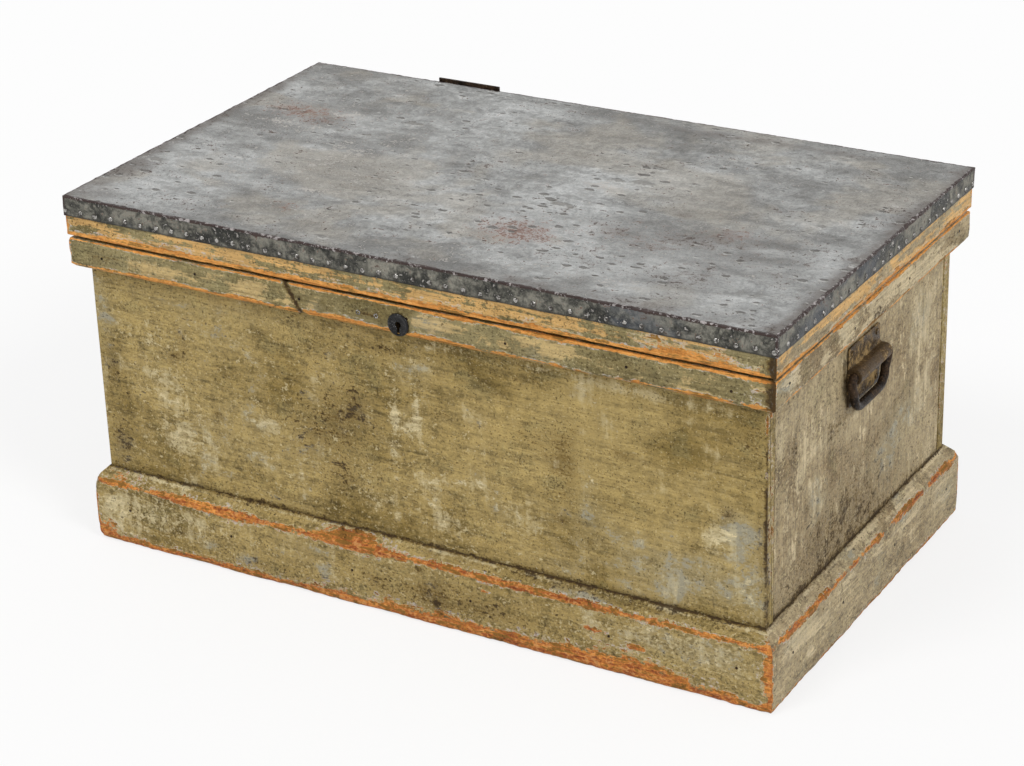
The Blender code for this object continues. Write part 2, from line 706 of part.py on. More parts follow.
def main():
    clear_scene()
    body_paint = make_material("body_paint", (0.24, 0.20, 0.10), 0.6)
    band_paint = make_material("band_paint", (0.30, 0.22, 0.09), 0.55)
    bare = make_material("bare_pine", (0.42, 0.27, 0.13), 0.7)
    metal = make_material("sheet_metal", (0.33, 0.34, 0.34), 0.5, 0.8)
    iron = make_material("iron", (0.05, 0.04, 0.035), 0.5, 0.8)

    carcase = make_carcase(body_paint)
    make_bottom(bare)
    make_base_skirt(body_paint)
    band = make_top_band(band_paint)

    lid_pivot = make_pivot("lid_pivot", (0, HINGE_Y, HINGE_Z))
    make_lid_rim(lid_pivot, band_paint)
    lid_boards = make_lid_boards(lid_pivot, bare)
    make_lid_sheet(lid_pivot, metal)
    make_hinge("left", -HINGE_SPACING / 2, LID_TOP + HINGE_PROUD, lid_pivot, iron)
    make_hinge("right", HINGE_SPACING / 2, LID_TOP - HINGE_LOW, lid_pivot, iron)

    make_lift_rings(iron)
    make_lock(carcase["front"], band["front"], lid_boards["front"], lid_pivot, iron)
    make_runners(bare)
    make_till(bare)


main()
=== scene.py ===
"""Looks of a pine tool chest: worn paint, a lid clad in sheet metal, and forged iron, on its CAD frame.

Metres, +Z up. +X runs along the chest and -Y is its front. A piece of any side is made as if for the front,
along X, and then turned to its side. Its place along the side and its height are then X and Z.
"""

import math
import random

import bpy
import numpy as np
from mathutils import Matrix, Vector, noise


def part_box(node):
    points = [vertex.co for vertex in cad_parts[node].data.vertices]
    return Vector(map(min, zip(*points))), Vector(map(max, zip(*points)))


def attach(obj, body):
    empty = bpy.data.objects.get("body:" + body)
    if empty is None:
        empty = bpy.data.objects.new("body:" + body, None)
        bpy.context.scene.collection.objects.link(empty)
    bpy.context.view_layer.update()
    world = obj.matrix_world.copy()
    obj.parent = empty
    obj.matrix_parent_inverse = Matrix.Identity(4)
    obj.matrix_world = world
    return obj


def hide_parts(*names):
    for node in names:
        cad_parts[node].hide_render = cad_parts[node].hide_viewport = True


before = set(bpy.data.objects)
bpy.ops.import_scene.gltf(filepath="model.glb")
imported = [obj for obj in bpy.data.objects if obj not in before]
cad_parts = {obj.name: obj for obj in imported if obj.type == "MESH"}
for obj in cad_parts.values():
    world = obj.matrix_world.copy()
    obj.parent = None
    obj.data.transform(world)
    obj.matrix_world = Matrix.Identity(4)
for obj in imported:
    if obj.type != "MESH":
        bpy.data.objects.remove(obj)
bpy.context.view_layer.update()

# Camera, at the photograph's view, with its angles in degrees
CAMERA_PLACE = (1.6957, -2.8884, 1.7646)
CAMERA_AZIMUTH = 30.684
CAMERA_TILT = 24.855
CAMERA_ROLL = -1.79
CAMERA_LENS = 97.47

# Light. Each sun has a strength and the way to it.
SKY_STRENGTH = 0.55
LEFT_SUN = (0.94, (-0.25, -0.60, 0.76))
RIGHT_SUN = (1.13, (0.75, -0.25, 0.61))
SUN_ANGLE = 20
FLOOR_HALF = 30.0
FLOOR_DROP = 0.0002         # how far the floor lies under the chest
FLOOR_GREY = 0.93
FLOOR_SHADOW = 0.24         # how much of the shadow the camera sees

# Wood
BOARD_STEP = 0.004          # spacing of points on boards, strips and planks
STRIP_STEP = 0.0042
PLANK_STEP = 0.03
ARC_STEPS = 4               # parts of a rounded edge
SHARP_ANGLE = 50            # an edge with a wider angle than this, in degrees, is drawn sharp
WAVE = 0.0005               # depth of the slow hollows
BOARD_CHIP = 0.001          # depth of the chips along a board's edges
EDGE_FALL = 0.0045          # how far wear reaches from an edge
MITRE_WEAR = 0.7            # wear of the strips' upright corners
BOARD_ROUND = 0.0018        # radius at the ends of a front or back board
END_ROUND = 0.0008          # radius at the ends of a left or right board
PLANK_EDGE = 0.0012         # radius of a plank's edges
BOARD_GROW = 0.0009         # how much wider a bottom board is on each side, so that no light shows between
BOARD_SHIFT = 9.0           # how far the grain of one bare board may lie from another's
BARE_DEPTH = 0.002          # paint ends this far from a board's inner face
BARE_END = 0.004            # and this far from its ends
STRIP_BARE = {"base_skirt": 0.0004, "top_band": 0.0004, "lid_rim": 0.004}  # the same for strips
STRIP_INNER = 0.0003        # gap between the carcase and a strip or plate
BASE_FOOT = 0.004           # chamfer at the foot of the base skirt
BASE_BEVEL = 0.0172         # slope at its top
BAND_BEVEL = 0.005          # chamfer at the foot of the band
RIM_INNER = 0.002           # gap between the carcase's face and the lid's rim
WEAR_SHARES = {"front": 1.0, "right": 0.92, "back": 0.95, "left": 0.8}
UNSEEN = (0.1, 0.55, 1.0, 1.0)  # strength of wear, dirt, pale and blue marks on sides that weren't seen
BOARD_MARKS = (16, 0.12, 0.39)  # number of such marks on a board, and their lowest and highest places
STRIP_MARKS = 12                # number of each kind on a strip

# Strips: depth of chips, how far wear reaches, and radii of worn corners from the front left one round
BASE_STRIP = (0.0024, 0.0054, (0.020, 0.005, 0.014, 0.012))
BAND_STRIP = (0.0014, 0.0036, (0.005, 0.003, 0.004, 0.004))
RIM_STRIP = (0.0012, 0.0070, (0.003, 0.002, 0.003, 0.003))

# Lines along joints: (amount, reach, power of the fall). The one under the band is painted shade, and the
# pale one on the base's slope a painted highlight
# painted shade on the carcase under the band, held in the dirt field
BAND_SHADE_LINE = (0.8, 0.012, 1)     # on the carcase, under the band
BASE_LINE = (1.3, 0.005, 1)     # on the carcase, above the base
TOP_LINE = (1.4, 0.0022, 2)     # on the base, at its top
FOOT_LINE = (0.55, 0.009, 2)    # on the base, at its foot
# a painted highlight along the top of the base's slope, held in the pale field
BASE_HIGHLIGHT_LINE = (0.9, 0.0016, 2)    # on the base's slope
BASE_HIGHLIGHT_DROP = 0.004               # from the base's top to that line

# The gouge across the band
GOUGE_START = (-0.168, 0.442)
GOUGE_END = (-0.143, 0.398)
GOUGE_WIDTH = 0.0042
GOUGE_DEPTH = 0.0016
GOUGE_DIRT = 2.0
GOUGE_FACE = 0.012          # only points further out from the carcase than this are gouged

# Lid sheet
SHEET_STEP = 0.0026
SHEET_CROWD = 0.45          # how much closer its points lie towards its edges
SHEET_FOLD = 0.0014         # radius of its fold
SHEET_DROP = 0.0275         # height of its skirt
SKIRT_ROWS = 9
SKIRT_SINK = 0.0002         # how far the skirt lies inside the fold
SHEET_SINK = 0.0011         # how far the plain top lies under the CAD's, so that its lumps stay inside
SHEET_ROOM = 0.0024         # how far the wood under the sheet is sunk, for its dents
SHEET_THICK = 0.0008
CRUST_REACH = 0.0034        # how far the dark crust reaches from a fold
CRUST_AMOUNT = 0.95
CRUST_SMALL = 0.0006        # heights of its small and large lumps
CRUST_LARGE = 0.0004
FOLD_REACH = 0.0026         # how far these lumps reach down the skirt
SKIRT_WOBBLE = 0.0005
HEM_WOBBLE = 0.0007
HEM_SOIL = 0.002            # how far soil reaches up from the skirt's hem
SLOW_WAVE = 0.0008          # heights of the top's slow waves, quick waves and hammer marks
QUICK_WAVE = 0.0004
HAMMER_MARK = 0.0007
RELIEF_RANGE = (-0.0014, 0.0010)
RELIEF_EDGE = 0.012         # how near its edges the top is flat
DENTS = 420
DENT_RADII = (0.0028, 0.008)
DENT_DEPTHS = (0.0004, 0.0013)

# Nails and screws
NAIL_ROOM = 0.0014          # how far the sheet's skirt stands in, so that nail heads fit the CAD's box
NAIL_HEAD = 0.0033
NAIL_DOME = 0.0013
NAIL_RISE = 0.0058          # from the sheet's lower edge to the nails
NAIL_REACH = 0.0165         # how far the last nails lie past the carcase's corners
NAIL_CLEAR = 0.003          # gap between a nail and a hinge leaf
NAIL_ROOT = 0.0012          # how far a nail's head reaches into the sheet
NAIL_STRAY = 0.0012         # how far a nail may lie from its even place, along and up, and lean
NAIL_LIFT = 0.0008
NAIL_LEAN = 0.12
FRONT_NAILS = 43
END_NAILS = 25
FLAT_NAIL = 0.0022          # head of a nail in the base or the band
FLAT_ROOT = 0.001           # how far it reaches into the wood, and stands out
FLAT_RISE = 0.0006
FLAT_STRAY = 0.012          # how far it may lie from its even place, along and up
FLAT_LIFT = 0.004
NAIL_SINK = 0.0004          # how far such a nail lies under the strip's plain face
NAIL_END = 0.03             # from the strip's end to its last nail
BASE_NAILS = ("base_skirt", 0.055, 6, 4)    # strip, height, and nails on its long and short sides
BAND_NAILS = ("top_band", 0.4210, 7, 4)
SCREW_HEAD = 0.0042
SCREW_RISE = 0.0011
SCREW_SLOT = 0.0010
SCREW_ROOT = 0.0004         # how far a screw's head reaches into its plate
SCREW_EDGE = 0.010          # from a plate's edge to its screws

# Iron
LOWER_LEAF_FACE = 0.0211    # from the carcase's back to the hinge leaves' outer faces
UPPER_LEAF_FACE = 0.0244
LOWER_SCREW_RISE = 0.0155   # from the lower leaf's foot to its screws
UPPER_SCREW_HEIGHT = 0.45735
PLATE_THICK = 0.0033
PLATE_CORNER = 0.006
PLATE_END = 0.0011          # radius at the lift plate's ends
PLATE_STEP = 0.005
RUB_RISE = 0.002            # further out than this from its plate, the barrel is rubbed black
BARREL_GROW = 0.0008        # how much taller the barrel is than it stands out
BARREL_ROUND = 0.0088
BORE_ROOM = 0.0005
RING_FOOT = 0.84            # width of the lift ring's foot, as a share of its top
RING_TOP_BEND = 0.0085
RING_FOOT_BEND = 0.020
RING_STEP = 0.006
RING_SIDES = 14
IRON_EASE = 0.0004          # bevels of the CAD's own iron and wood
WOOD_EASE = 0.0008

# Lock
KEY_RADIUS = 0.0042
KEY_SLOT = 0.0018           # half the keyhole's slot
KEY_FOOT = 0.0125           # from the keyhole's middle to its foot
KEY_REACH = 0.03            # how far the keyhole's cutter stands in front of the carcase
# painted shade in the keyhole, held in the dirt and shade field
HOLE_SHADE = 4.0
HOLE_SHADE_REACH = 0.0005          # how far the painted shade reaches past the keyhole
CUT_ROOM = 0.0003
CUT_REACH = 0.01            # how far other cutters stand past what they cut
BAND_HOLES = (-0.0586, -0.0326)
BAND_HOLE_HEIGHT = 0.4195
BAND_HOLE_FACE = 0.0183     # from the carcase to the hole rings

# Materials
NOISE_SPREAD = 0.063        # standard deviation of the noise texture
SEED_WAY = (3.1, 5.7, 2.3)  # how far a seed of 1 shifts the textures
DARKEST = 0.3               # what a shade leaves of a colour at least

# Colours of the paint and wood, linear
OLIVE = (0.385, 0.284, 0.108)
OLIVE_DARK = (0.205, 0.142, 0.040)
OLIVE_GREEN = (0.235, 0.220, 0.110)
CREAM = (0.620, 0.525, 0.310)
TAN = (0.420, 0.335, 0.200)
TAN_DARK = (0.225, 0.160, 0.082)
GREY_BLUE = (0.300, 0.305, 0.265)
FADED = (0.360, 0.310, 0.185)
LILAC = (0.560, 0.540, 0.540)
BROWN = (0.125, 0.073, 0.014)
GRIME = (0.060, 0.036, 0.014)
CRUST = (0.045, 0.026, 0.010)
ORANGE = (0.620, 0.245, 0.052)
RED_WOOD = (0.390, 0.105, 0.028)
GOLD = (0.700, 0.330, 0.085)
PEACH = (0.650, 0.385, 0.138)
BUFF = (0.515, 0.372, 0.165)
PALE_TAN = (0.560, 0.460, 0.290)
PINE = (0.470, 0.310, 0.160)
PINE_DARK = (0.320, 0.195, 0.092)
PINE_STAIN = (0.190, 0.118, 0.062)
PINE_SPECK = (0.080, 0.045, 0.022)
MOSS = (0.290, 0.240, 0.115)
MOSS_DARK = (0.165, 0.125, 0.045)

# Paints: light and dark, the coat under them, how rarely that coat shows, and how far strokes stretch it
LONG_PAINT = (OLIVE, OLIVE_DARK, CREAM, 2.0, 0.2)
SHORT_PAINT = (TAN, TAN_DARK, PALE_TAN, 1.5, 0.7)
LONG_BAND = (MOSS, MOSS_DARK, BUFF, 0.45, 0.5)
SHORT_BAND = (TAN, TAN_DARK, PALE_TAN, 0.3, 0.5)
LONG_RIM = (MOSS, MOSS_DARK, PEACH, -0.05, 0.9)
SHORT_RIM = (TAN, TAN_DARK, PEACH, -0.3, 0.9)

# Colours of the metals
ZINC = (0.520, 0.528, 0.520)
ZINC_DARK = (0.195, 0.193, 0.182)
ZINC_WARM = (0.385, 0.352, 0.296)
ZINC_WHITE = (0.680, 0.640, 0.590)
ZINC_SOIL_AND_SHADE = (0.165, 0.145, 0.130)
ZINC_SPOT = (0.085, 0.070, 0.058)
SKIRT_GREY = (0.255, 0.246, 0.205)
SKIRT_DARK = (0.028, 0.028, 0.024)
SKIRT_BLUE = (0.085, 0.096, 0.115)
SKIRT_SOIL = (0.026, 0.023, 0.019)
RUST = (0.225, 0.112, 0.078)
RUST_FILM = (0.330, 0.235, 0.195)
# painted shade in the lid's dents and dints, and painted highlights on their lit rims
DENT_SHADE = (0.150, 0.140, 0.122)
DENT_HIGHLIGHT = (0.680, 0.675, 0.650)
DINT_SHADE = (0.075, 0.068, 0.058)
DINT_HIGHLIGHT = (0.700, 0.690, 0.660)
PIT = (0.060, 0.050, 0.044)
FOLD_CRUST = (0.050, 0.030, 0.027)
FOLD_GLINT = (0.680, 0.630, 0.615)
IRON = (0.017, 0.011, 0.007)
IRON_RUST = (0.078, 0.044, 0.022)
IRON_PAINT = (0.265, 0.180, 0.080)
IRON_PAINT_DARK = (0.075, 0.047, 0.022)
IRON_SPECK = (0.170, 0.115, 0.070)
JAPAN = (0.003, 0.003, 0.003)
JAPAN_GREY = (0.016, 0.015, 0.014)
JAPAN_GLINT = (0.350, 0.340, 0.330)
NAIL_DARK = (0.062, 0.056, 0.050)
NAIL_BRIGHT = (0.410, 0.395, 0.370)

SIDES = ("front", "right", "back", "left")
LONG_SIDES = ("front", "back")
WAYS = ((0, -1), (1, 0), (0, 1), (-1, 0))


# Marks on the paint, in millimetres: (along, height, half length, half height, amount)


def in_metres(*rows):
    """Marks in metres, from rows in millimetres."""
    return [(x / 1000, z / 1000, wide / 1000, tall / 1000, amount) for x, z, wide, tall, amount in rows]


FRONT_WEAR = in_metres(
    (485.5, 372, 2, 26, 0.7), (485.5, 310, 2, 16, 0.7), (-485.5, 180, 2, 40, 0.4),
)
FRONT_PALE = in_metres(
    (-394, 306, 30, 24, 0.7), (-380, 246, 38, 32, 0.8), (-355, 195, 45, 34, 0.6),
    (-376, 165, 50, 25, 0.8), (-211, 228, 24, 20, 0.7), (-52, 155, 30, 16, 0.8),
    (-71, 188, 12, 18, 0.7), (59, 146, 55, 18, 0.8), (158, 170, 40, 30, 0.5),
    (40, 200, 60, 18, 0.5), (-3, 264, 20, 14, 0.9), (-25, 290, 6, 45, 1.4), (8, 315, 5, 45, 1.2),
    (-28, 190, 6, 60, 0.6), (419, 213, 18, 26, 1.2), (440, 378, 14, 6, 1.0),
    (389, 150, 90, 22, 0.5), (60, 386, 40, 6, 1.0), (190, 384, 60, 7, 1.1), (330, 382, 70, 8, 1.1),
)
FRONT_DIRT = in_metres(
    (-465, 260, 18, 40, 0.9), (-460, 148, 24, 35, 0.9), (-443, 213, 6, 20, 0.9),
    (-364, 290, 16, 11, 0.9), (-346, 314, 10, 18, 0.7), (-299, 221, 10, 7, 1.2),
    (-277, 281, 20, 12, 0.6), (-130, 354, 35, 14, 0.7), (-92, 251, 60, 50, 0.7),
    (-84, 300, 30, 40, 0.4), (-150, 240, 50, 40, 0.6), (-100, 162, 34, 30, 0.8),
    (-34, 367, 45, 9, 0.8), (150, 368, 60, 7, 0.8), (50, 291, 45, 8, 0.6), (216, 260, 24, 60, 0.8),
    (170, 292, 30, 18, 0.6), (213, 187, 14, 10, 1.0), (300, 294, 20, 10, 0.9),
    (464, 352, 16, 24, 0.8), (379, 261, 8, 6, 0.8), (251, 169, 7, 6, 1.2),
    (486, 250, 2.2, 150, 1.3), (478, 230, 10, 140, 0.7), (438, 248, 11, 11, 1.3),
)
FRONT_BLUE = in_metres(
    (448, 232, 30, 34, 0.9), (389, 150, 90, 26, 0.6), (-472, 330, 16, 50, 0.8),
    (245, 205, 14, 22, 0.7), (0, 340, 30, 30, 0.5), (330, 155, 180, 55, 0.5),
    (-300, 372, 160, 20, 0.5), (-320, 200, 120, 90, 0.3),
)
FRONT_CALM = in_metres(
    (300, 310, 260, 130, 1.0), (300, 150, 200, 60, 0.4), (-330, 380, 120, 25, 0.7),
)
END_CALM = in_metres(
    (40, 260, 300, 160, 0.7),
)
STRIP_CALM = in_metres(
    (0, 440, 2000, 200, 0.8),
)
END_PALE = in_metres(
    (-243, 326, 16, 40, 0.9), (-143, 318, 40, 34, 0.9), (-193, 265, 34, 34, 0.8),
    (-214, 150, 20, 40, 0.7), (205, 290, 40, 80, 0.8), (110, 330, 50, 40, 0.6),
)
END_DIRT = in_metres(
    (-206, 305, 16, 34, 0.9), (-97, 285, 30, 24, 0.7), (-60, 330, 20, 50, 0.9),
    (-10, 292, 50, 12, 0.8), (-165, 213, 14, 8, 0.8), (-127, 167, 6, 20, 0.8),
    (-60, 135, 240, 60, 0.95), (-20, 210, 120, 50, 0.45),
)
END_BLUE = in_metres(
    (116, 205, 80, 60, 0.9), (180, 330, 50, 40, 0.7), (-120, 210, 50, 50, 0.5),
)
BASE_WEAR = in_metres(
    (-305, 86, 60, 10, 0.7), (-85, 93, 45, 12, 0.9), (140, 88, 80, 5, 0.4), (190, 6, 120, 18, 0.8),
    (310, 10, 90, 24, 0.9), (440, 6, 60, 16, 0.7), (500, 50, 12, 50, 0.8), (-490, 12, 18, 18, 0.7),
    (-440, 4, 30, 10, 0.6), (-300, 3, 110, 12, 0.7), (-80, 4, 110, 18, 0.9), (80, 4, 90, 18, 0.85),
    (-460, 100, 40, 7, 0.36), (324, 47, 14, 4, 0.9), (106, 70, 8, 3, 0.9), (263, 56, 16, 3, 0.8),
)
BASE_BLUE = in_metres(
    (-314, 34, 18, 10, 1.0), (-263, 27, 20, 10, 1.0), (-133, 39, 12, 14, 0.9),
    (-140, 66, 12, 6, 0.9), (-347, 42, 16, 8, 0.7), (398, 58, 110, 30, 0.8), (242, 96, 40, 6, 1.0),
)
BASE_DIRT = in_metres(
    (-200, 20, 100, 18, 0.7), (12, 78, 5, 5, 1.4), (35, 33, 4, 4, 1.4), (60, 42, 130, 26, 0.75),
    (150, 50, 300, 50, 0.2), (300, 102, 220, 8, 1.0), (-200, 104, 250, 5, 0.5),
)
BASE_PALE = in_metres(
    (-420, 58, 50, 24, 1.1), (-400, 50, 120, 40, 0.4), (-330, 62, 60, 16, 0.5),
    (-480, 20, 12, 12, 0.9), (-110, 30, 30, 20, 0.5), (398, 58, 110, 30, 0.7),
)
BAND_DIRT = in_metres(
    (-456, 420, 40, 14, 0.8), (-280, 420, 40, 10, 0.3), (-45, 424, 30, 10, 0.8),
    (160, 420, 20, 10, 0.5), (330, 425, 80, 12, 0.5), (506, 420, 16, 40, 2.4),
    (120, 420, 260, 30, 0.35),
)
BAND_PALE = in_metres(
    (-225, 420, 60, 12, 0.8), (-390, 420, 40, 12, 0.9), (99, 410, 50, 12, 0.3),
    (251, 412, 60, 12, 0.6), (420, 412, 40, 12, 0.4), (0, 420, 150, 30, -0.35),
    (400, 420, 140, 30, -0.25),
)
BAND_BLUE = in_metres(
    (-120, 415, 25, 14, 0.7), (-30, 404, 25, 6, 0.9), (40, 425, 30, 12, 0.8),
    (190, 412, 16, 16, 0.8),
)
BAND_WEAR = in_metres(
    (-300, 402, 140, 8, 0.35), (-100, 403, 50, 10, 0.5), (50, 402, 60, 6, 0.4),
    (300, 438, 150, 5, 0.35), (470, 415, 30, 20, 0.35),
)
RIM_WEAR = in_metres(
    (-400, 450, 120, 10, 0.35), (-120, 448, 150, 10, 0.35), (150, 450, 120, 12, 0.25),
    (370, 456, 60, 12, 0.5), (470, 455, 40, 15, 0.3),
)
RIM_DIRT = in_metres(
    (508, 456, 16, 40, 2.4), (-95, 462, 30, 6, 0.8), (-300, 464, 30, 6, 0.6),
    (-480, 462, 20, 8, 0.7), (300, 460, 50, 6, 0.6), (150, 456, 300, 30, 0.2),
)
LID_RUST = in_metres(
    (85, -150, 55, 40, 1.0), (-400, 105, 60, 40, 0.8), (333, -45, 30, 20, 0.7),
    (-222, -204, 20, 14, 0.6), (250, -110, 120, 60, 0.3),
)
# Pale flecks on the lid's top. The large mark at the left middle is a painted reflection, which makes the
# top lighter there
LID_PALE_AND_REFLECTION = in_metres(
    (110, 34, 40, 12, 1.0), (-330, 120, 30, 16, 0.8), (-390, 60, 50, 12, 0.6),
    (240, 130, 30, 14, 0.8), (-180, -215, 20, 10, 0.6), (260, -240, 160, 20, 0.6),
    (-280, -40, 180, 180, 0.6),
)
# Dirt on the lid's top and along its edges. The large mark at the right is painted shade, which makes the
# top darker there
LID_DIRT_AND_SHADE = in_metres(
    (-508, -20, 22, 600, 1.1), (-480, -180, 20, 100, 0.4), (508, -20, 18, 600, 1.1),
    (200, 270, 240, 16, 0.7), (60, -100, 120, 30, 0.3), (330, -120, 160, 160, 0.46),
    (150, -290, 450, 22, 0.5), (-460, -270, 30, 30, 0.7),
)


# Materials


class Field:
    """One output of a material's nodes. Sums and products of fields add Math nodes."""

    def __init__(self, look, socket):
        self.look = look
        self.socket = socket

    def __add__(self, other):
        return self.look.math("ADD", self, other)

    def __sub__(self, other):
        return self.look.math("SUBTRACT", self, other)

    def __mul__(self, other):
        return self.look.math("MULTIPLY", self, other)

    def step(self, low, high, out_low=0.0, out_high=1.0):
        """out_low below low and out_high above high, with a soft edge."""
        inputs = {"Value": self, "From Min": low, "From Max": high, "To Min": out_low, "To Max": out_high}
        node = self.look.add("ShaderNodeMapRange", inputs, interpolation_type="SMOOTHSTEP")
        return Field(self.look, node.outputs["Result"])


class Look:
    """A material whose node tree is built by short calls. A seed shifts all its textures."""

    def __init__(self, name, seed):
        self.material = bpy.data.materials.new(name)
        self.material.use_nodes = True
        self.tree = self.material.node_tree
        self.shader = self.tree.nodes["Principled BSDF"]
        place = self.add("ShaderNodeTexCoord").outputs["Object"]
        self.place = self.vector("ADD", place, tuple(way * seed for way in SEED_WAY))

    def add(self, kind, inputs=None, **settings):
        """Adds a node with its settings, and feeds its inputs, by name or number."""
        node = self.tree.nodes.new(kind)
        for name, value in settings.items():
            setattr(node, name, value)
        self.feed_all(node, inputs or {})
        return node

    def feed_all(self, node, inputs):
        """Links each field to its input, and writes each plain value on it."""
        for name, value in inputs.items():
            socket = node.inputs[name]
            if isinstance(value, Field):
                value = value.socket
            if isinstance(value, bpy.types.NodeSocket):
                self.tree.links.new(value, socket)
            elif socket.type == "RGBA":
                socket.default_value = (*value, 1)
            else:
                socket.default_value = value

    def math(self, operation, a, b):
        node = self.add("ShaderNodeMath", {0: a, 1: b}, operation=operation)
        return Field(self, node.outputs["Value"])

    def vector(self, operation, a, b):
        return self.add("ShaderNodeVectorMath", {0: a, 1: b}, operation=operation).outputs["Vector"]

    def mix(self, factor, a, b):
        node = self.add("ShaderNodeMix", {0: factor, 6: a, 7: b}, data_type="RGBA")
        return Field(self, node.outputs[2])

    def shade(self, colour, change):
        """A colour made lighter or darker by a field."""
        factor = self.math("MAXIMUM", change + 1.0, DARKEST)
        node = self.add("ShaderNodeVectorMath", {0: colour, "Scale": factor}, operation="SCALE")
        return Field(self, node.outputs["Vector"])

    def attribute(self, name):
        return Field(self, self.add("ShaderNodeAttribute", attribute_name=name).outputs["Fac"])

    def noise(self, scale, stretch=(1, 1, 1), detail=5.0, roughness=0.7, distortion=0.3):
        """Cloudy noise with a mean of 0 and a spread of about 1."""
        place = self.vector("MULTIPLY", self.place, stretch)
        inputs = {"Scale": scale, "Detail": detail, "Roughness": roughness, "Distortion": distortion}
        node = self.add("ShaderNodeTexNoise", {"Vector": place, **inputs})
        return (Field(self, node.outputs["Fac"]) - 0.5) * (1 / NOISE_SPREAD)

    def cells(self, scale, stretch=(1, 1, 1), shift=(0, 0, 0)):
        """Distance from scattered points, and a random number for each point's cell."""
        place = self.vector("ADD", self.vector("MULTIPLY", self.place, stretch), shift)
        node = self.add("ShaderNodeTexVoronoi", {"Vector": place, "Scale": scale})
        return Field(self, node.outputs["Distance"]), Field(self, node.outputs["Color"])

    def finish(self, colour, roughness, height, bump, depth, metallic=0.0, specular=0.2):
        """Feeds the shader. bump and depth are the strength and the distance of its relief."""
        relief = self.add("ShaderNodeBump", {"Strength": bump, "Distance": depth, "Height": height})
        self.feed_all(self.shader, {
            "Base Color": colour,
            "Roughness": roughness,
            "Metallic": metallic,
            "Specular IOR Level": specular,
            "Normal": relief.outputs["Normal"],
        })
        return self.material


def worn_wood(look, wood, patch, flake, fine, grain, dirt_and_shade):
    """Wood under worn paint: two colours along the grain, with paler scuffs and brown stains."""
    timber = look.mix((grain * 0.7 + flake * 0.7).step(-1.0, 1.0), wood[0], wood[1])
    timber = look.shade(timber, fine * 0.18 + grain * 0.16)
    timber = look.mix((fine * 0.8 - flake * 0.5).step(0.5, 1.3) * 0.55, timber, PEACH)
    return look.mix((patch * 0.3 + flake * 0.7 + grain * 0.7 + dirt_and_shade).step(0.6, 1.5) * 0.8, timber, BROWN)


def inner_pine(look, broad, fine, grain):
    """Unpainted pine on the inner side of a painted board."""
    rings = look.noise(70, (0.05, 1, 1), 3, 0.5, 0.8)
    plain = look.mix((rings * 0.8 + broad * 0.6).step(-1.8, 1.6), PINE_DARK, PINE)
    return look.shade(plain, fine * 0.07 + grain * 0.08)


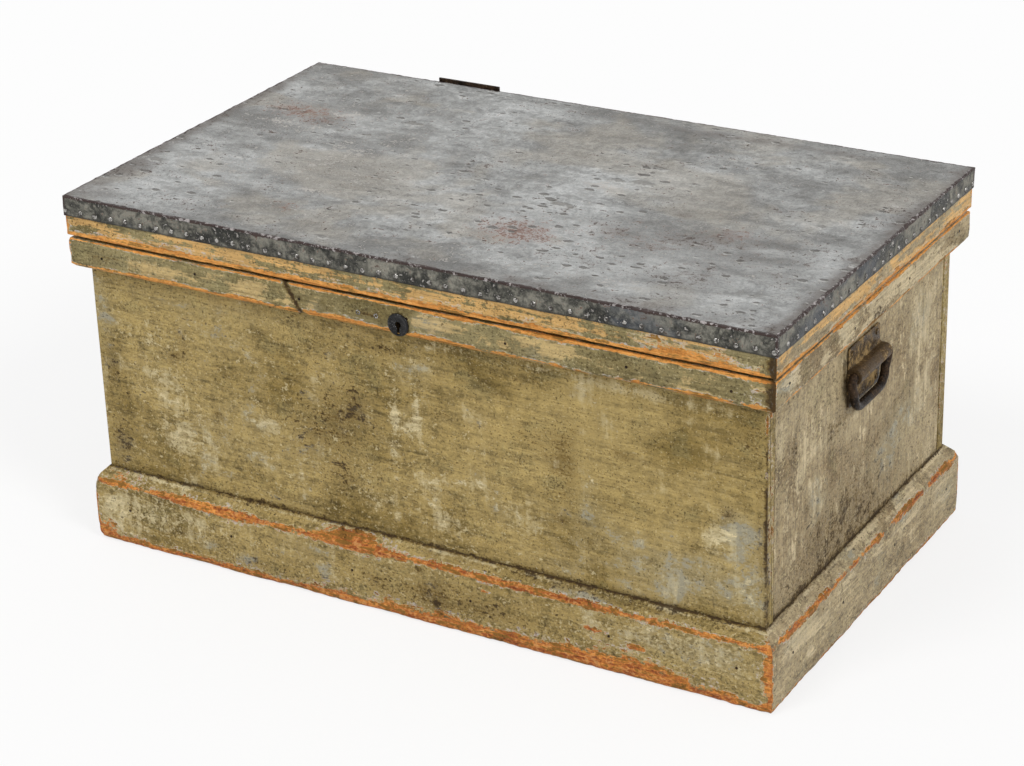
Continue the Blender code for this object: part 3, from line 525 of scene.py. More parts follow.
def paint_look(name, paint, seed, wood=(RED_WOOD, ORANGE), upright=False):
    """Old paint on pine, worn through to orange wood where the wear field is high."""
    base, dark, under, rare, strokes = paint
    look = Look(name, seed)
    wear = look.attribute("wear")
    # the dirt field also holds painted shade: under the band, and in the keyhole
    dirt_and_shade = look.attribute("dirt_and_shade")
    light = look.attribute("pale")
    blue = look.attribute("blue")
    busy = look.attribute("calm").step(0.0, 1.0, 1.0, 0.5)
    broad = look.noise(5, (1, 1, 1.3), 3, 0.55)
    patch = look.noise(17, (0.8, 1, 1), 6, 0.66, 0.6)
    flake = look.noise(62, (0.8, 1, 1), 7, 0.72, 0.4) * busy
    fine = look.noise(210, (0.75, 1, 1), 5, 0.70) * busy
    grain = look.noise(210, (1, 1, 0.10) if upright else (0.07, 1, 1), 5, 0.70)
    brush = look.noise(80, (1, 1, 0.20) if upright else (0.10, 1, 1), 5, 0.70)
    drip = look.noise(75, (1, 1, 0.10), 5, 0.65)
    speck = look.noise(320, detail=3)

    colour = look.mix((broad * 0.8 + patch * 0.4 + flake * 0.3).step(-3.4, 1.3), dark, base)
    colour = look.mix((flake * 0.3 - patch * 0.7).step(0.6, 1.9) * 0.25, colour, OLIVE_GREEN)
    colour = look.shade(colour, brush * 0.05 + grain * 0.10 + fine * 0.14 + flake * 0.09 + drip * 0.03)

    film_and_shade = (broad * 0.2 + patch * 0.3 + flake * 0.4 + grain * 0.3 + fine * 0.4 + dirt_and_shade * 2.0).step(0.9, 2.8)
    colour = look.mix(film_and_shade * 0.8, colour, BROWN)
    colour = look.mix((blue + patch * 0.15 + flake * 0.10).step(0.1, 1.1) * 0.5, colour, FADED)
    blue_mask = (patch * 0.5 + flake * 0.5 + fine * 0.4 + blue * 2.0).step(1.6, 2.2)
    colour = look.mix(blue_mask * 0.6, colour, GREY_BLUE)
    veil = (patch * 0.6 + drip * 0.4 + fine * 0.3 + light * 2.0).step(0.9, 2.8)
    colour = look.mix(veil * 0.55, colour, under)
    coat = (patch * 0.6 + flake * 0.5 + brush * strokes + fine * 0.3 + light * 1.6).step(rare, rare + 0.35)
    colour = look.mix(coat * 0.75, colour, look.shade(under, fine * 0.10 + grain * 0.12 + brush * 0.06))
    chips = (fine * 0.8 - flake * 0.5 + light * 0.9).step(1.6, 1.9)
    flecks = (speck + light * 0.6).step(1.9, 2.2)
    colour = look.mix(look.math("MAXIMUM", chips * 0.7, flecks * 0.5), colour, CREAM)
    # soot and crust follow the dirt field, so they also paint the keyhole's shade nearly black
    soot = (fine * 0.6 + flake * 0.5 + grain * 0.4 + dirt_and_shade * 1.2).step(1.7, 2.5)
    colour = look.mix(soot * 0.7, colour, GRIME)
    pepper = (dirt_and_shade * 0.5 - speck - patch * 0.2).step(1.7, 2.2)
    colour = look.mix(pepper * 0.75, colour, GRIME)

    bare = (wear + fine * 0.09 + grain * 0.07 + flake * 0.12 + patch * 0.13) * wear.step(0.02, 0.14)
    primer = bare.step(0.26, 0.44) * flake.step(-0.6, 0.4)
    colour = look.mix(primer * 0.75, colour, look.mix(fine.step(-0.3, 0.6), CREAM, LILAC))
    wood_mask = bare.step(0.46, 0.54)
    colour = look.mix(wood_mask, colour, worn_wood(look, wood, patch, flake, fine, grain, dirt_and_shade))
    crust = (dirt_and_shade * 1.7 + fine * 0.4 + flake * 0.5 + patch * 0.3).step(1.7, 2.9)
    colour = look.mix(crust * 0.85, colour, CRUST)

    inner = look.attribute("inner")
    colour = look.mix(inner, colour, inner_pine(look, broad, fine, grain))

    height = grain * 0.05 + fine * 0.08 + flake * 0.08 + brush * 0.03
    height = height + coat * 0.12 + chips * 0.15 - wood_mask * 0.3 - pepper * 0.3
    return look.finish(colour, fine.step(-3, 3, 0.40, 0.72), height, 0.8, 0.0018, specular=0.13)


def sheet_look():
    """Old zinc sheet: soft grey sheen, small pits, rust stains, and dark crusted edges, with painted shade
    and highlights on its dents and a painted reflection on its top.
    """
    look = Look("sheet_metal", 1.0)
    rust = look.attribute("rust")
    light = look.attribute("pale")
    dirt_and_shade = look.attribute("dirt_and_shade")
    edge = look.attribute("edge")
    skirt = look.attribute("skirt")
    broad = look.noise(4, detail=4, roughness=0.6, distortion=0.6)
    cloud = look.noise(15, detail=7, roughness=0.66, distortion=0.6)
    fine = look.noise(80, detail=6, roughness=0.72, distortion=0.4)
    grit = look.noise(290)
    streak = look.noise(30, (0.3, 1, 1), 5, 0.6)
    tint = look.noise(7, (0.7, 1, 1), 3, 0.6)
    hammer = look.noise(34, (0.6, 1, 1), 3, 0.5)

    # the pale field lightens this sheen, and at the left middle of the top that is a painted reflection
    sheen = (broad * 0.7 + cloud * 0.3 + streak * 0.3 + fine * 0.2 + light * 0.9).step(-2.6, 2.4)
    grey = look.mix(sheen, ZINC_DARK, ZINC)
    grey = look.mix(tint.step(0.2, 1.8) * 0.5, grey, ZINC_WARM)
    side = look.mix((cloud * 0.8 + fine * 0.5).step(-1.6, 2.0), SKIRT_DARK, SKIRT_GREY)
    side = look.mix(broad.step(0.4, 1.5) * 0.6, side, SKIRT_BLUE)
    colour = look.mix(skirt, grey, side)
    colour = look.shade(colour, fine * 0.12 + grit * 0.10 + cloud * 0.05 + hammer * 0.05)
    pale_mask = (light * 1.9 - fine * 0.6 - cloud * 0.4 - grit * 0.6).step(1.7, 2.6)
    colour = look.mix(pale_mask * 0.6, colour, ZINC_WHITE)
    colour = look.mix((rust + cloud * 0.15 + fine * 0.10).step(0.15, 1.1) * 0.4, colour, RUST_FILM)
    rust_mask = (fine * 0.6 + cloud * 0.3 + grit * 0.7 + rust * 2.2).step(1.6, 2.3)
    colour = look.mix(rust_mask * 0.85, colour, RUST)
    # the soil film also paints the darker right of the top, as painted shade
    soil_and_shade = look.mix(skirt, ZINC_SOIL_AND_SHADE, SKIRT_SOIL)
    film_and_shade = (dirt_and_shade + cloud * 0.14 + fine * 0.12).step(0.15, 1.0)
    colour = look.mix(film_and_shade * 0.8, colour, soil_and_shade)
    spots = (fine * 0.6 + cloud * 0.5 + grit * 0.6 + dirt_and_shade * 0.8).step(1.8, 2.5)
    colour = look.mix(spots * 0.7, colour, ZINC_SPOT)

    flat = skirt.step(0.0, 0.5, 1.0, 0.0)
    crowd = fine * 0.05 + broad * 0.05 + cloud * 0.03

    def scattered(scale, stretch, size, low, high, shift=0.0):
        distance, cell = look.cells(scale, stretch, (0.0, shift, 0.0))
        return (cell * size - distance + crowd).step(low, high) * flat

    # Each dent and dint is painted shade, and the same mark shifted towards the front is a painted
    # highlight on its lit rim
    dint_shade = scattered(62, (0.7, 1.25, 1), 0.62, 0.25, 0.31)
    dint_highlight = scattered(62, (0.7, 1.25, 1), 0.62, 0.22, 0.29, 0.0022)
    dent_shade = scattered(25, (0.6, 1.2, 1), 0.55, 0.25, 0.33)
    rim = scattered(25, (0.6, 1.2, 1), 0.55, 0.22, 0.31, 0.0040)
    pit = grit.step(1.5, 1.9) * cloud.step(-0.4, 0.8) * flat
    colour = look.mix(rim * 0.60, colour, DENT_HIGHLIGHT)
    colour = look.mix(dent_shade * 0.65, colour, DENT_SHADE)
    colour = look.mix(dint_highlight * 0.6, colour, DINT_HIGHLIGHT)
    colour = look.mix(dint_shade * 0.75, colour, DINT_SHADE)
    colour = look.mix(pit * 0.8, colour, PIT)
    crust_mask = (edge + fine * 0.10 + cloud * 0.06).step(0.46, 0.64)
    colour = look.mix(crust_mask * 0.92, colour, FOLD_CRUST)
    glint = crust_mask * look.noise(150, detail=5, roughness=0.75).step(0.8, 1.4)
    colour = look.mix(glint * 0.7, colour, FOLD_GLINT)

    height = fine * 0.10 + grit * 0.04 + cloud * 0.14 + hammer * 0.42 * flat
    height = height - dint_shade * 0.8 + dint_highlight * 0.3 - dent_shade * 0.7 - pit * 0.4 + glint * 0.3
    roughness = (fine * 0.7 + cloud * 0.7).step(-2, 2, 0.34, 0.58)
    return look.finish(colour, roughness, height, 0.9, 0.0026, metallic=0.10, specular=0.18)


def iron_look(name, base, rust, seed, rusty):
    """Forged iron, brown with rust or old paint, and black and smooth where the rubbed field is high."""
    look = Look(name, seed)
    rubbed = look.attribute("rubbed")
    cloud = look.noise(48, detail=6)
    fine = look.noise(330)
    rust_mask = (cloud * 0.8 + fine * 0.5 - rubbed * 1.8).step(-0.6, 0.8) * rusty
    colour = look.mix(rust_mask, base, rust)
    colour = look.shade(colour, fine * 0.15 + cloud * 0.12)
    colour = look.mix(fine.step(1.4, 2.3) * 0.5, colour, IRON_SPECK)
    height = cloud * 0.09 + fine * 0.05
    roughness = (cloud + rust_mask * 2.0).step(-2, 3, 0.26, 0.62)
    return look.finish(colour, roughness, height, 0.7, 0.0012, specular=0.10)


def black_look():
    """Black japanned metal, glossy, with painted glints: small bright specks."""
    look = Look("black_iron", 3.0)
    cloud = look.noise(160)
    fine = look.noise(900, detail=3)
    colour = look.mix(cloud.step(0, 2), JAPAN, JAPAN_GREY)
    # painted glints
    colour = look.mix(fine.step(2.1, 2.6) * 0.7, colour, JAPAN_GLINT)
    return look.finish(colour, cloud.step(-2, 2, 0.10, 0.26), cloud * 0.1, 0.3, 0.0008, specular=0.25)


def nail_look():
    """Dark iron nail heads, polished by rubbing."""
    look = Look("nail_steel", 4.0)
    cloud = look.noise(260, detail=3)
    fine = look.noise(1400, detail=3)
    colour = look.mix(cloud.step(-1.2, 1.2), NAIL_DARK, NAIL_BRIGHT)
    height = cloud * 0.08 + fine * 0.03
    return look.finish(colour, fine.step(-2, 2, 0.16, 0.30), height, 0.3, 0.0006, metallic=0.85)


def pine_look(name, seed, along_y=False):
    """Old bare pine, with growth lines along the board, brown with age and handling. Each board differs."""
    look = Look(name, seed)
    board = look.add("ShaderNodeAttribute", attribute_name="board").outputs
    look.place = look.vector("ADD", look.place, board["Vector"])
    stretch = (1, 0.05, 1) if along_y else (0.05, 1, 1)
    broad = look.noise(6, detail=3)
    lines = look.noise(55, stretch, 3, 0.5, 0.8)
    thin = look.noise(170, stretch, 4, 0.6, 0.6)
    grain = look.noise(520, stretch)
    fine = look.noise(150)
    colour = look.mix((lines * 0.7 + thin * 0.5).step(-2.2, 1.8), PINE_DARK, PINE)
    colour = look.shade(colour, grain * 0.09 + fine * 0.06 + thin * 0.04)
    colour = look.shade(colour, (Field(look, board["Fac"]) - 0.5 * BOARD_SHIFT) * (0.3 / BOARD_SHIFT))
    colour = look.mix((broad * 0.8 + fine * 0.5).step(0.4, 2.6) * 0.6, colour, PINE_STAIN)
    distance, cell = look.cells(34)
    speck = (cell * 0.5 - distance).step(0.28, 0.34)
    colour = look.mix(speck * 0.7, colour, PINE_SPECK)
    height = grain * 0.08 + lines * 0.05 + thin * 0.04 + fine * 0.04 - speck * 0.5
    return look.finish(colour, fine.step(-2, 2, 0.55, 0.80), height, 0.6, 0.0012, specular=0.25)


# Meshes


def add_piece(name, verts, faces, material, body, nodes=(), turn=0.0, fields=None):
    """Makes a smooth piece of a mesh, turned about the chest's middle, and lets it ride on its body."""
    mesh = bpy.data.meshes.new(name)
    mesh.from_pydata([tuple(vert) for vert in verts], [], faces)
    for field, values in (fields or {}).items():
        attribute = mesh.attributes.new(field, "FLOAT", "POINT")
        attribute.data.foreach_set("value", np.asarray(values, np.float32))
    mesh.materials.append(material)
    mesh.shade_smooth()
    mesh.set_sharp_from_angle(angle=math.radians(SHARP_ANGLE))
    obj = bpy.data.objects.new(name, mesh)
    bpy.context.collection.objects.link(obj)
    obj.rotation_euler.z = turn
    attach(obj, body)
    if nodes:
        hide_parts(*nodes)
    return obj


def gather(shapes):
    """Joins small meshes, each a list of points and a list of faces."""
    verts = []
    faces = []
    for shape_verts, shape_faces in shapes:
        faces += [[i + len(verts) for i in face] for face in shape_faces]
        verts += shape_verts
    return verts, faces


def tube_faces(rows, size):
    """Quads between rows of points. Each row is a closed loop of the same size."""
    faces = []
    for row in range(rows - 1):
        for i in range(size):
            j = (i + 1) % size
            faces.append([row * size + i, row * size + j, (row + 1) * size + j, (row + 1) * size + i])
    return faces


def circle(radius, count):
    turns = [2 * math.pi * i / count for i in range(count)]
    return [(radius * math.cos(t), radius * math.sin(t)) for t in turns]


def rectangle(left, front, right, back):
    return [(left, front), (right, front), (right, back), (left, back)]


def divided(corners):
    """Points round a closed line of (corner, step), no further apart than the step after each corner."""
    points = []
    for (a, step), (b, _) in zip(corners, corners[1:] + corners[:1]):
        parts = max(1, math.ceil((b - a).length / step))
        points += [a.lerp(b, k / parts) for k in range(parts)]
    return points


def spread(half, step, crowd=0.3):
    """Places from -half to half, closer together towards both ends."""
    shares = np.linspace(-1, 1, max(4, round(2 * half / step)) + 1)
    return half * ((1 - crowd) * shares + crowd * np.sin(shares * math.pi / 2))


def rounded_outline(corners, fall=EDGE_FALL):
    """Points, outward normals, wear and the way round of a closed outline.

    Each corner has (outward, height, radius, wear, step), and step is the spacing of points after it.
    fall is how far wear reaches from a corner.
    """
    count = len(corners)
    points = []
    for i, (out, z, radius, _, step) in enumerate(corners):
        corner = Vector((out, z))
        back = (Vector(corners[i - 1][:2]) - corner).normalized()
        ahead = (Vector(corners[(i + 1) % count][:2]) - corner).normalized()
        half = back.angle(ahead) / 2
        start = corner + back * (radius / math.tan(half))
        end = corner + ahead * (radius / math.tan(half))
        centre = corner + (back + ahead).normalized() * (radius / math.sin(half))
        for k in range(ARC_STEPS + 1):
            toward = start.lerp(end, k / ARC_STEPS) - centre
            points.append((centre + toward.normalized() * radius, step))
    dense = divided(points)
    area = sum(a.cross(b) for a, b in zip(dense, dense[1:] + dense[:1]))
    way = 1 if area > 0 else -1
    normals = []
    wears = []
    for i, point in enumerate(dense):
        tangent = dense[(i + 1) % len(dense)] - dense[i - 1]
        normals.append(Vector((tangent.y, -tangent.x)).normalized() * way)
        near = [c[3] * math.exp(-(((point - Vector(c[:2])).length / fall) ** 2)) for c in corners]
        wears.append(max(near))
    return dense, normals, wears, way


def marks(patches, along, height):
    """The sum of soft patches at a place on a side."""
    total = 0.0
    for x, z, half_x, half_z, amount in patches:
        u = (along - x) / half_x
        v = (height - z) / half_z
        if abs(u) < 2.5 and abs(v) < 2.5:
            total += amount * math.exp(-u * u - v * v)
    return total


def random_marks(seed, count, half, low, high, size, strength):
    """Patches like those that were seen, for a side that wasn't."""
    rng = random.Random(seed)
    patches = []
    for _ in range(count):
        half_x = size * rng.uniform(0.012, 0.055)
        half_z = half_x * rng.uniform(0.4, 1.0)
        x = rng.uniform(-half, half)
        z = rng.uniform(low, high)
        patches.append((x, z, half_x, half_z, strength * rng.uniform(0.5, 1.0)))
    return patches


def wave_depth(x, z, seed):
    """Slow hollows in an old surface."""
    slow = noise.noise(Vector((5 * x + seed, seed, 5 * z)))
    quick = noise.noise(Vector((24 * x, seed, 24 * z)))
    return WAVE * (0.5 + 0.5 * slow + 0.25 * quick)


def chip_depth(x, z, wear, depth, seed):
    """Chips and rubbing along a worn edge."""
    long_chips = noise.noise(Vector((14 * x, seed, 40 * z)))
    small_chips = noise.noise(Vector((90 * x, seed + 7, 90 * z)))
    return depth * wear * max(0.0, 0.35 + 0.9 * long_chips + 0.6 * small_chips)


def clamp_corner(u, v, radius):
    """Moves a point that is u and v inside two faces onto the round corner between them."""
    if radius <= 0 or u >= radius or v >= radius:
        return u, v
    reach = math.hypot(radius - u, radius - v)
    if reach <= radius:
        return u, v
    return radius - (radius - u) * radius / reach, radius - (radius - v) * radius / reach


def worn_corner(gone, deep, low, radius):
    """Wears a strip's corner round, from a point's distances inside its end, face, and top or foot."""
    share = 1 - gone / radius
    if share <= 0:
        return gone, deep, low
    reach = Vector((radius - gone, share * max(0.0, radius - deep), share * max(0.0, radius - low)))
    if reach.length <= radius:
        return gone, deep, low
    scale = radius / reach.length
    deep = radius - (radius - deep) * scale if deep < radius else deep
    low = radius - (radius - low) * scale if low < radius else low
    return radius - (radius - gone) * scale, deep, low


def mitred(x, out, z, half, outer, mitre):
    """Moves a point of a strip to its place between mitred ends, whose corners are worn round."""
    radii, bottom, top, slope = mitre
    along = x * (half + out) / half
    gone = half + outer - abs(along)
    radius = radii[0] if along < 0 else radii[1]
    near_foot = z < (bottom + top) / 2
    low = z - bottom if near_foot else top - z + slope * (outer - out)
    radius *= 0.3 + 0.7 * max(0.0, 1 - low / (1.5 * radius)) ** 2
    gone, deep, low = worn_corner(gone, outer - out, low, radius)
    z = bottom + low if near_foot else top + slope * deep - low
    return math.copysign(half + outer - gone, along), outer - deep, z


def loft(outline, half, stand_off, step, chip, seed, end_round=0.0, mitre=None):
    """A board or strip along X, made of an outline swept between two square ends, or mitred ends.

    mitre holds the radii of the worn corners at both ends, the face's lowest and highest points, and the
    slope of the top above the face. Returns the points, the faces, and each point's (along, height, wear).
    """
    points, normals, wears, way = outline
    outer = max(point.x for point in points)
    stations = [(x, 0.0) for x in spread(half, step)]
    if end_round:
        inner_half = half - end_round
        turns = [math.pi / 2 * k / ARC_STEPS for k in range(1, ARC_STEPS + 1)]
        ends = [(inner_half + end_round * math.sin(t), end_round * (1 - math.cos(t))) for t in turns]
        inner = [(x, 0.0) for x in spread(inner_half, step)]
        stations = [(-x, inset) for x, inset in reversed(ends)] + inner + ends
    verts = []
    places = []
    for x, inset in stations:
        for point, normal, wear in zip(points, normals, wears):
            if mitre and point.x > outer - EDGE_FALL:
                gone = (half - abs(x)) * (half + outer) / half
                wear = max(wear, MITRE_WEAR * math.exp(-((gone / EDGE_FALL) ** 2)))
            depth = inset + wave_depth(x, point.y, seed) + chip_depth(x, point.y, wear, chip, seed)
            out, z = point - normal * depth
            along = x
            if mitre:
                along, out, z = mitred(x, out, z, half, outer, mitre)
            verts.append((along, -stand_off - out, z))
            places.append((along, z, wear))
    size = len(points)
    last = (len(stations) - 1) * size
    faces = tube_faces(len(stations), size)
    faces += [list(range(size))[::-1], list(range(last, last + size))]
    if way > 0:
        faces = [face[::-1] for face in faces]
    return verts, faces, places


def paint_fields(places, *sets):
    """The fields that the paint's material reads, apart from inner, from the places of a piece's points.

    sets are the marks of each field.
    """
    names = ("wear", "dirt_and_shade", "pale", "blue", "calm")
    fields = {name: [marks(s, x, z) for x, z, _ in places] for name, s in zip(names, sets, strict=True)}
    fields["wear"] = [worn + more for (_, _, worn), more in zip(places, fields["wear"])]
    return fields


def joint_line(line, gap):
    """How strong a line along a joint is at a distance from it."""
    amount, reach, power = line
    return amount * math.exp(-((abs(gap) / reach) ** power))


def cut(obj, verts, faces):
    """Cuts a shape out of a piece, and keeps the result as its mesh."""
    mesh = bpy.data.meshes.new("cutter")
    mesh.from_pydata([tuple(vert) for vert in verts], [], faces)
    cutter = bpy.data.objects.new("cutter", mesh)
    bpy.context.collection.objects.link(cutter)
    modifier = obj.modifiers.new("cut", "BOOLEAN")
    modifier.operation = "DIFFERENCE"
    modifier.solver = "MANIFOLD"
    modifier.object = cutter
    bpy.context.view_layer.update()
    result = bpy.data.meshes.new_from_object(obj.evaluated_get(bpy.context.evaluated_depsgraph_get()))
    obj.modifiers.clear()
    obj.data = result
    bpy.data.objects.remove(cutter)


def prism(outline, low, high, shrink=1.0):
    """An outline in X and Y, between two heights. shrink makes its top smaller."""
    count = len(outline)
    verts = [(x, y, low) for x, y in outline] + [(x * shrink, y * shrink, high) for x, y in outline]
    faces = [list(range(count))[::-1], list(range(count, 2 * count))]
    faces += [[i, (i + 1) % count, count + (i + 1) % count, count + i] for i in range(count)]
    return verts, faces


def lathe(profile, sides):
    """A closed round shape. profile has (radius, height) from its bottom edge to a point on the axis."""
    verts = []
    for radius, z in profile[:-1]:
        verts += [(x, y, z) for x, y in circle(radius, sides)]
    rows = len(profile) - 1
    faces = [list(range(sides))[::-1]] + tube_faces(rows, sides)
    verts.append((0, 0, profile[-1][1]))
    last = (rows - 1) * sides
    faces += [[last + i, last + (i + 1) % sides, len(verts) - 1] for i in range(sides)]
    return verts, faces


def moved(shape, matrix):
    verts, faces = shape
    return [tuple(matrix @ Vector(vert)) for vert in verts], faces


def facing_out(place, turn=0.0):
    """Turns a shape's +Z to -Y, after a turn about its own axis, and puts it at a place."""
    return Matrix.Translation(place) @ Matrix.Rotation(math.pi / 2, 4, "X") @ Matrix.Rotation(turn, 4, "Z")


# Wooden pieces


BOARD_LOW, BOARD_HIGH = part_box("front_board")
HALF_LENGTH = BOARD_HIGH.x
HALF_DEPTH = -BOARD_LOW.y
BOARD = BOARD_HIGH.y - BOARD_LOW.y
RUNS = {"front": HALF_LENGTH, "right": HALF_DEPTH, "back": HALF_LENGTH, "left": HALF_DEPTH}
STAND_OFFS = {"front": HALF_DEPTH, "right": HALF_LENGTH, "back": HALF_DEPTH, "left": HALF_LENGTH}


def turn_of(side):
    return SIDES.index(side) * math.pi / 2


def carcase_fields(side, places, half):
    """The paint's fields on a board, from the marks that were seen on it, or from others like them."""
    if side == "front":
        return paint_fields(places, FRONT_WEAR, FRONT_DIRT, FRONT_PALE, FRONT_BLUE, FRONT_CALM)
    if side == "right":
        return paint_fields(places, (), END_DIRT, END_PALE, END_BLUE, END_CALM)
    first = 20 + 3 * SIDES.index(side)
    count, low, high = BOARD_MARKS
    sets = [random_marks(first + k, count, half, low, high, 1.0, UNSEEN[k + 1]) for k in range(3)]
    return paint_fields(places, (), *sets, END_CALM)


def make_carcase(looks):
    """The four boards, with their outer arrises rubbed round."""
    half_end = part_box("right_end")[1].y
    band_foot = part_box("top_band_front")[0].z
    base_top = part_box("base_skirt_front")[1].z
    outline = rounded_outline([
        (-BOARD, BOARD_LOW.z, 0.001, 0.0, 0.02),
        (0.0, BOARD_LOW.z, 0.001, 0.0, BOARD_STEP),
        (0.0, BOARD_HIGH.z, 0.0015, 0.5, 0.006),
        (-BOARD, BOARD_HIGH.z, 0.0015, 0.5, 0.02),
    ])
    for index, side in enumerate(SIDES):
        is_long = side in LONG_SIDES
        node = f"{side}_board" if is_long else f"{side}_end"
        half = HALF_LENGTH if is_long else half_end
        end_round = BOARD_ROUND if is_long else END_ROUND
        out = STAND_OFFS[side]
        verts, faces, places = loft(outline, half, out, BOARD_STEP, BOARD_CHIP, 10.0 + index, end_round)
        fields = carcase_fields(side, places, half)
        for i, (_, z, _) in enumerate(places):
            # painted shade under the band, and a dark joint line above the base
            fields["dirt_and_shade"][i] += joint_line(BAND_SHADE_LINE, band_foot - z) + joint_line(BASE_LINE, z - base_top)
        bare_face = out - BOARD + BARE_DEPTH
        bare_half = half - BARE_END
        fields["inner"] = [float(-y < bare_face and abs(x) < bare_half) for x, y, _ in verts]
        look = looks[side]
        turn = turn_of(side)
        piece = add_piece(node + "_wood", verts, faces, look, "chest", [node], turn, fields)
        if side == "front":
            cut_lock_pocket(piece)
            cut_keyhole(piece, -HALF_DEPTH - KEY_REACH, -HALF_DEPTH + BOARD)


def cut_lock_pocket(piece):
    low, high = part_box("lock_case")
    outline = rectangle(low.x - CUT_ROOM, low.y - CUT_ROOM, high.x + CUT_ROOM, high.y + CUT_REACH)
    cut(piece, *prism(outline, low.z - CUT_ROOM, high.z + CUT_REACH))


def keyhole_shape(grow):
    """A round hole with a slot below it, in X and Z, and the key's height."""
    low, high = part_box("escutcheon")
    radius = KEY_RADIUS + grow
    half = KEY_SLOT + grow
    foot = -KEY_FOOT - grow
    start = math.asin(half / radius) - math.pi / 2
    turns = [start + (math.pi - 2 * start) * i / 12 for i in range(13)]
    arc = [(radius * math.cos(t), radius * math.sin(t)) for t in turns]
    return arc + [(-half, foot), (half, foot)], (low.z + high.z) / 2


def cut_keyhole(piece, front, back, grow=CUT_ROOM):
    """Cuts the keyhole through a piece, and paints shade in and round it if the piece is painted."""
    outline, height = keyhole_shape(grow)
    cut(piece, *moved(prism(outline, -back, -front), facing_out((0, 0, height))))
    shade_field = piece.data.attributes.get("dirt_and_shade")
    reach = max(math.hypot(x, z) for x, z in outline) + HOLE_SHADE_REACH
    for vert in piece.data.vertices:
        if shade_field and math.hypot(vert.co.x, vert.co.z - height) < reach:
            shade_field.data[vert.index].value = HOLE_SHADE


def strip_profile(kind):
    """The corners of a mitred strip's outline, outward from the carcase."""
    low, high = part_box(f"{kind}_front")
    outer = -low.y - HALF_DEPTH
    if kind == "base_skirt":
        return [
            (STRIP_INNER, 0.0, 0.0002, 0.0, 0.02),
            (outer - BASE_FOOT, 0.0, 0.0015, 0.8, 0.003),
            (outer, BASE_FOOT, 0.0030, 0.8, 0.003),
            (outer, high.z - BASE_BEVEL, 0.0026, 0.75, 0.002),
            (outer - BASE_BEVEL, high.z, 0.0002, 0.0, 0.01),
            (STRIP_INNER, high.z, 0.0001, 0.0, 0.02),
        ]
    if kind == "top_band":
        return [
            (STRIP_INNER, low.z, 0.0003, 0.0, 0.01),
            (outer - BAND_BEVEL, low.z, 0.0015, 0.7, 0.002),
            (outer, low.z + BAND_BEVEL, 0.0020, 0.66, 0.0025),
            (outer, high.z, 0.0020, 0.85, 0.004),
            (STRIP_INNER, high.z, 0.0003, 0.0, 0.02),
        ]
    return [
        (RIM_INNER, low.z, 0.0005, 0.0, 0.006),
        (outer - NAIL_ROOM, low.z, 0.0022, 0.85, 0.0022),
        (outer - NAIL_ROOM, high.z - SHEET_ROOM, 0.0010, 0.0, 0.02),
        (RIM_INNER, high.z - SHEET_ROOM, 0.0005, 0.0, 0.02),
    ]


def gouge_share(along, height):
    """How deep the slanting gouge across the band is at a place, from 0 to 1."""
    start = Vector(GOUGE_START)
    way = Vector(GOUGE_END) - start
    place = Vector((along, height))
    share = min(1.0, max(0.0, (place - start).dot(way) / way.length_squared))
    return math.exp(-(((place - start - way * share).length / GOUGE_WIDTH) ** 2))


def gouge_band(verts, places, fields):
    """Cuts the gouge into the front band's face, and soils it."""
    for i, (along, height, _) in enumerate(places):
        x, y, z = verts[i]
        deep = gouge_share(along, height) if y < -HALF_DEPTH - GOUGE_FACE else 0.0
        verts[i] = (x, y + GOUGE_DEPTH * deep, z)
        fields["dirt_and_shade"][i] += GOUGE_DIRT * deep
        fields["wear"][i] *= 1 - deep


def soil_and_highlight_base(places, fields, top):
    """Dirt along the base's top and foot, and a painted highlight line on its slope."""
    for i, (_, height, _) in enumerate(places):
        fields["dirt_and_shade"][i] += joint_line(TOP_LINE, top - height) + joint_line(FOOT_LINE, height)
        fields["pale"][i] += joint_line(BASE_HIGHLIGHT_LINE, top - BASE_HIGHLIGHT_DROP - height)


def make_strips(kind, looks, body, slot, chip, fall, corner_radii, seen):
    """Four mitred strips. seen holds the wear, dirt, pale, blue and calm marks of the front."""
    low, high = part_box(f"{kind}_front")
    outline = rounded_outline(strip_profile(kind), fall)
    is_base = kind == "base_skirt"
    face_top = high.z - BASE_BEVEL if is_base else high.z
    for index, side in enumerate(SIDES):
        is_front_band = kind == "top_band" and side == "front"
        half = RUNS[side]
        out = STAND_OFFS[side]
        mitre = ((corner_radii[index], corner_radii[(index + 1) % 4]), low.z, face_top, float(is_base))
        seed = 30.0 + 5 * index + len(kind)
        verts, faces, places = loft(outline, half, out, STRIP_STEP, chip, seed, mitre=mitre)
        places = [(x, z, WEAR_SHARES[side] * worn) for x, z, worn in places]
        if side == "front":
            fields = paint_fields(places, *seen)
        else:
            area = (STRIP_MARKS, half, low.z, high.z, 0.6)
            sets = [random_marks(round(seed) * 10 + k, *area, share) for k, share in enumerate(UNSEEN)]
            fields = paint_fields(places, *sets, seen[4])
        if is_base:
            soil_and_highlight_base(places, fields, high.z)
        if is_front_band:
            gouge_band(verts, places, fields)
        fields["inner"] = [float(-y < out + STRIP_BARE[kind]) for _, y, _ in verts]
        node = f"{kind}_{side}"
        turn = turn_of(side)
        piece = add_piece(node + "_wood", verts, faces, looks[side], body, [node], turn, fields)
        if is_front_band:
            cut_keyhole(piece, -HALF_DEPTH - KEY_REACH, -HALF_DEPTH)


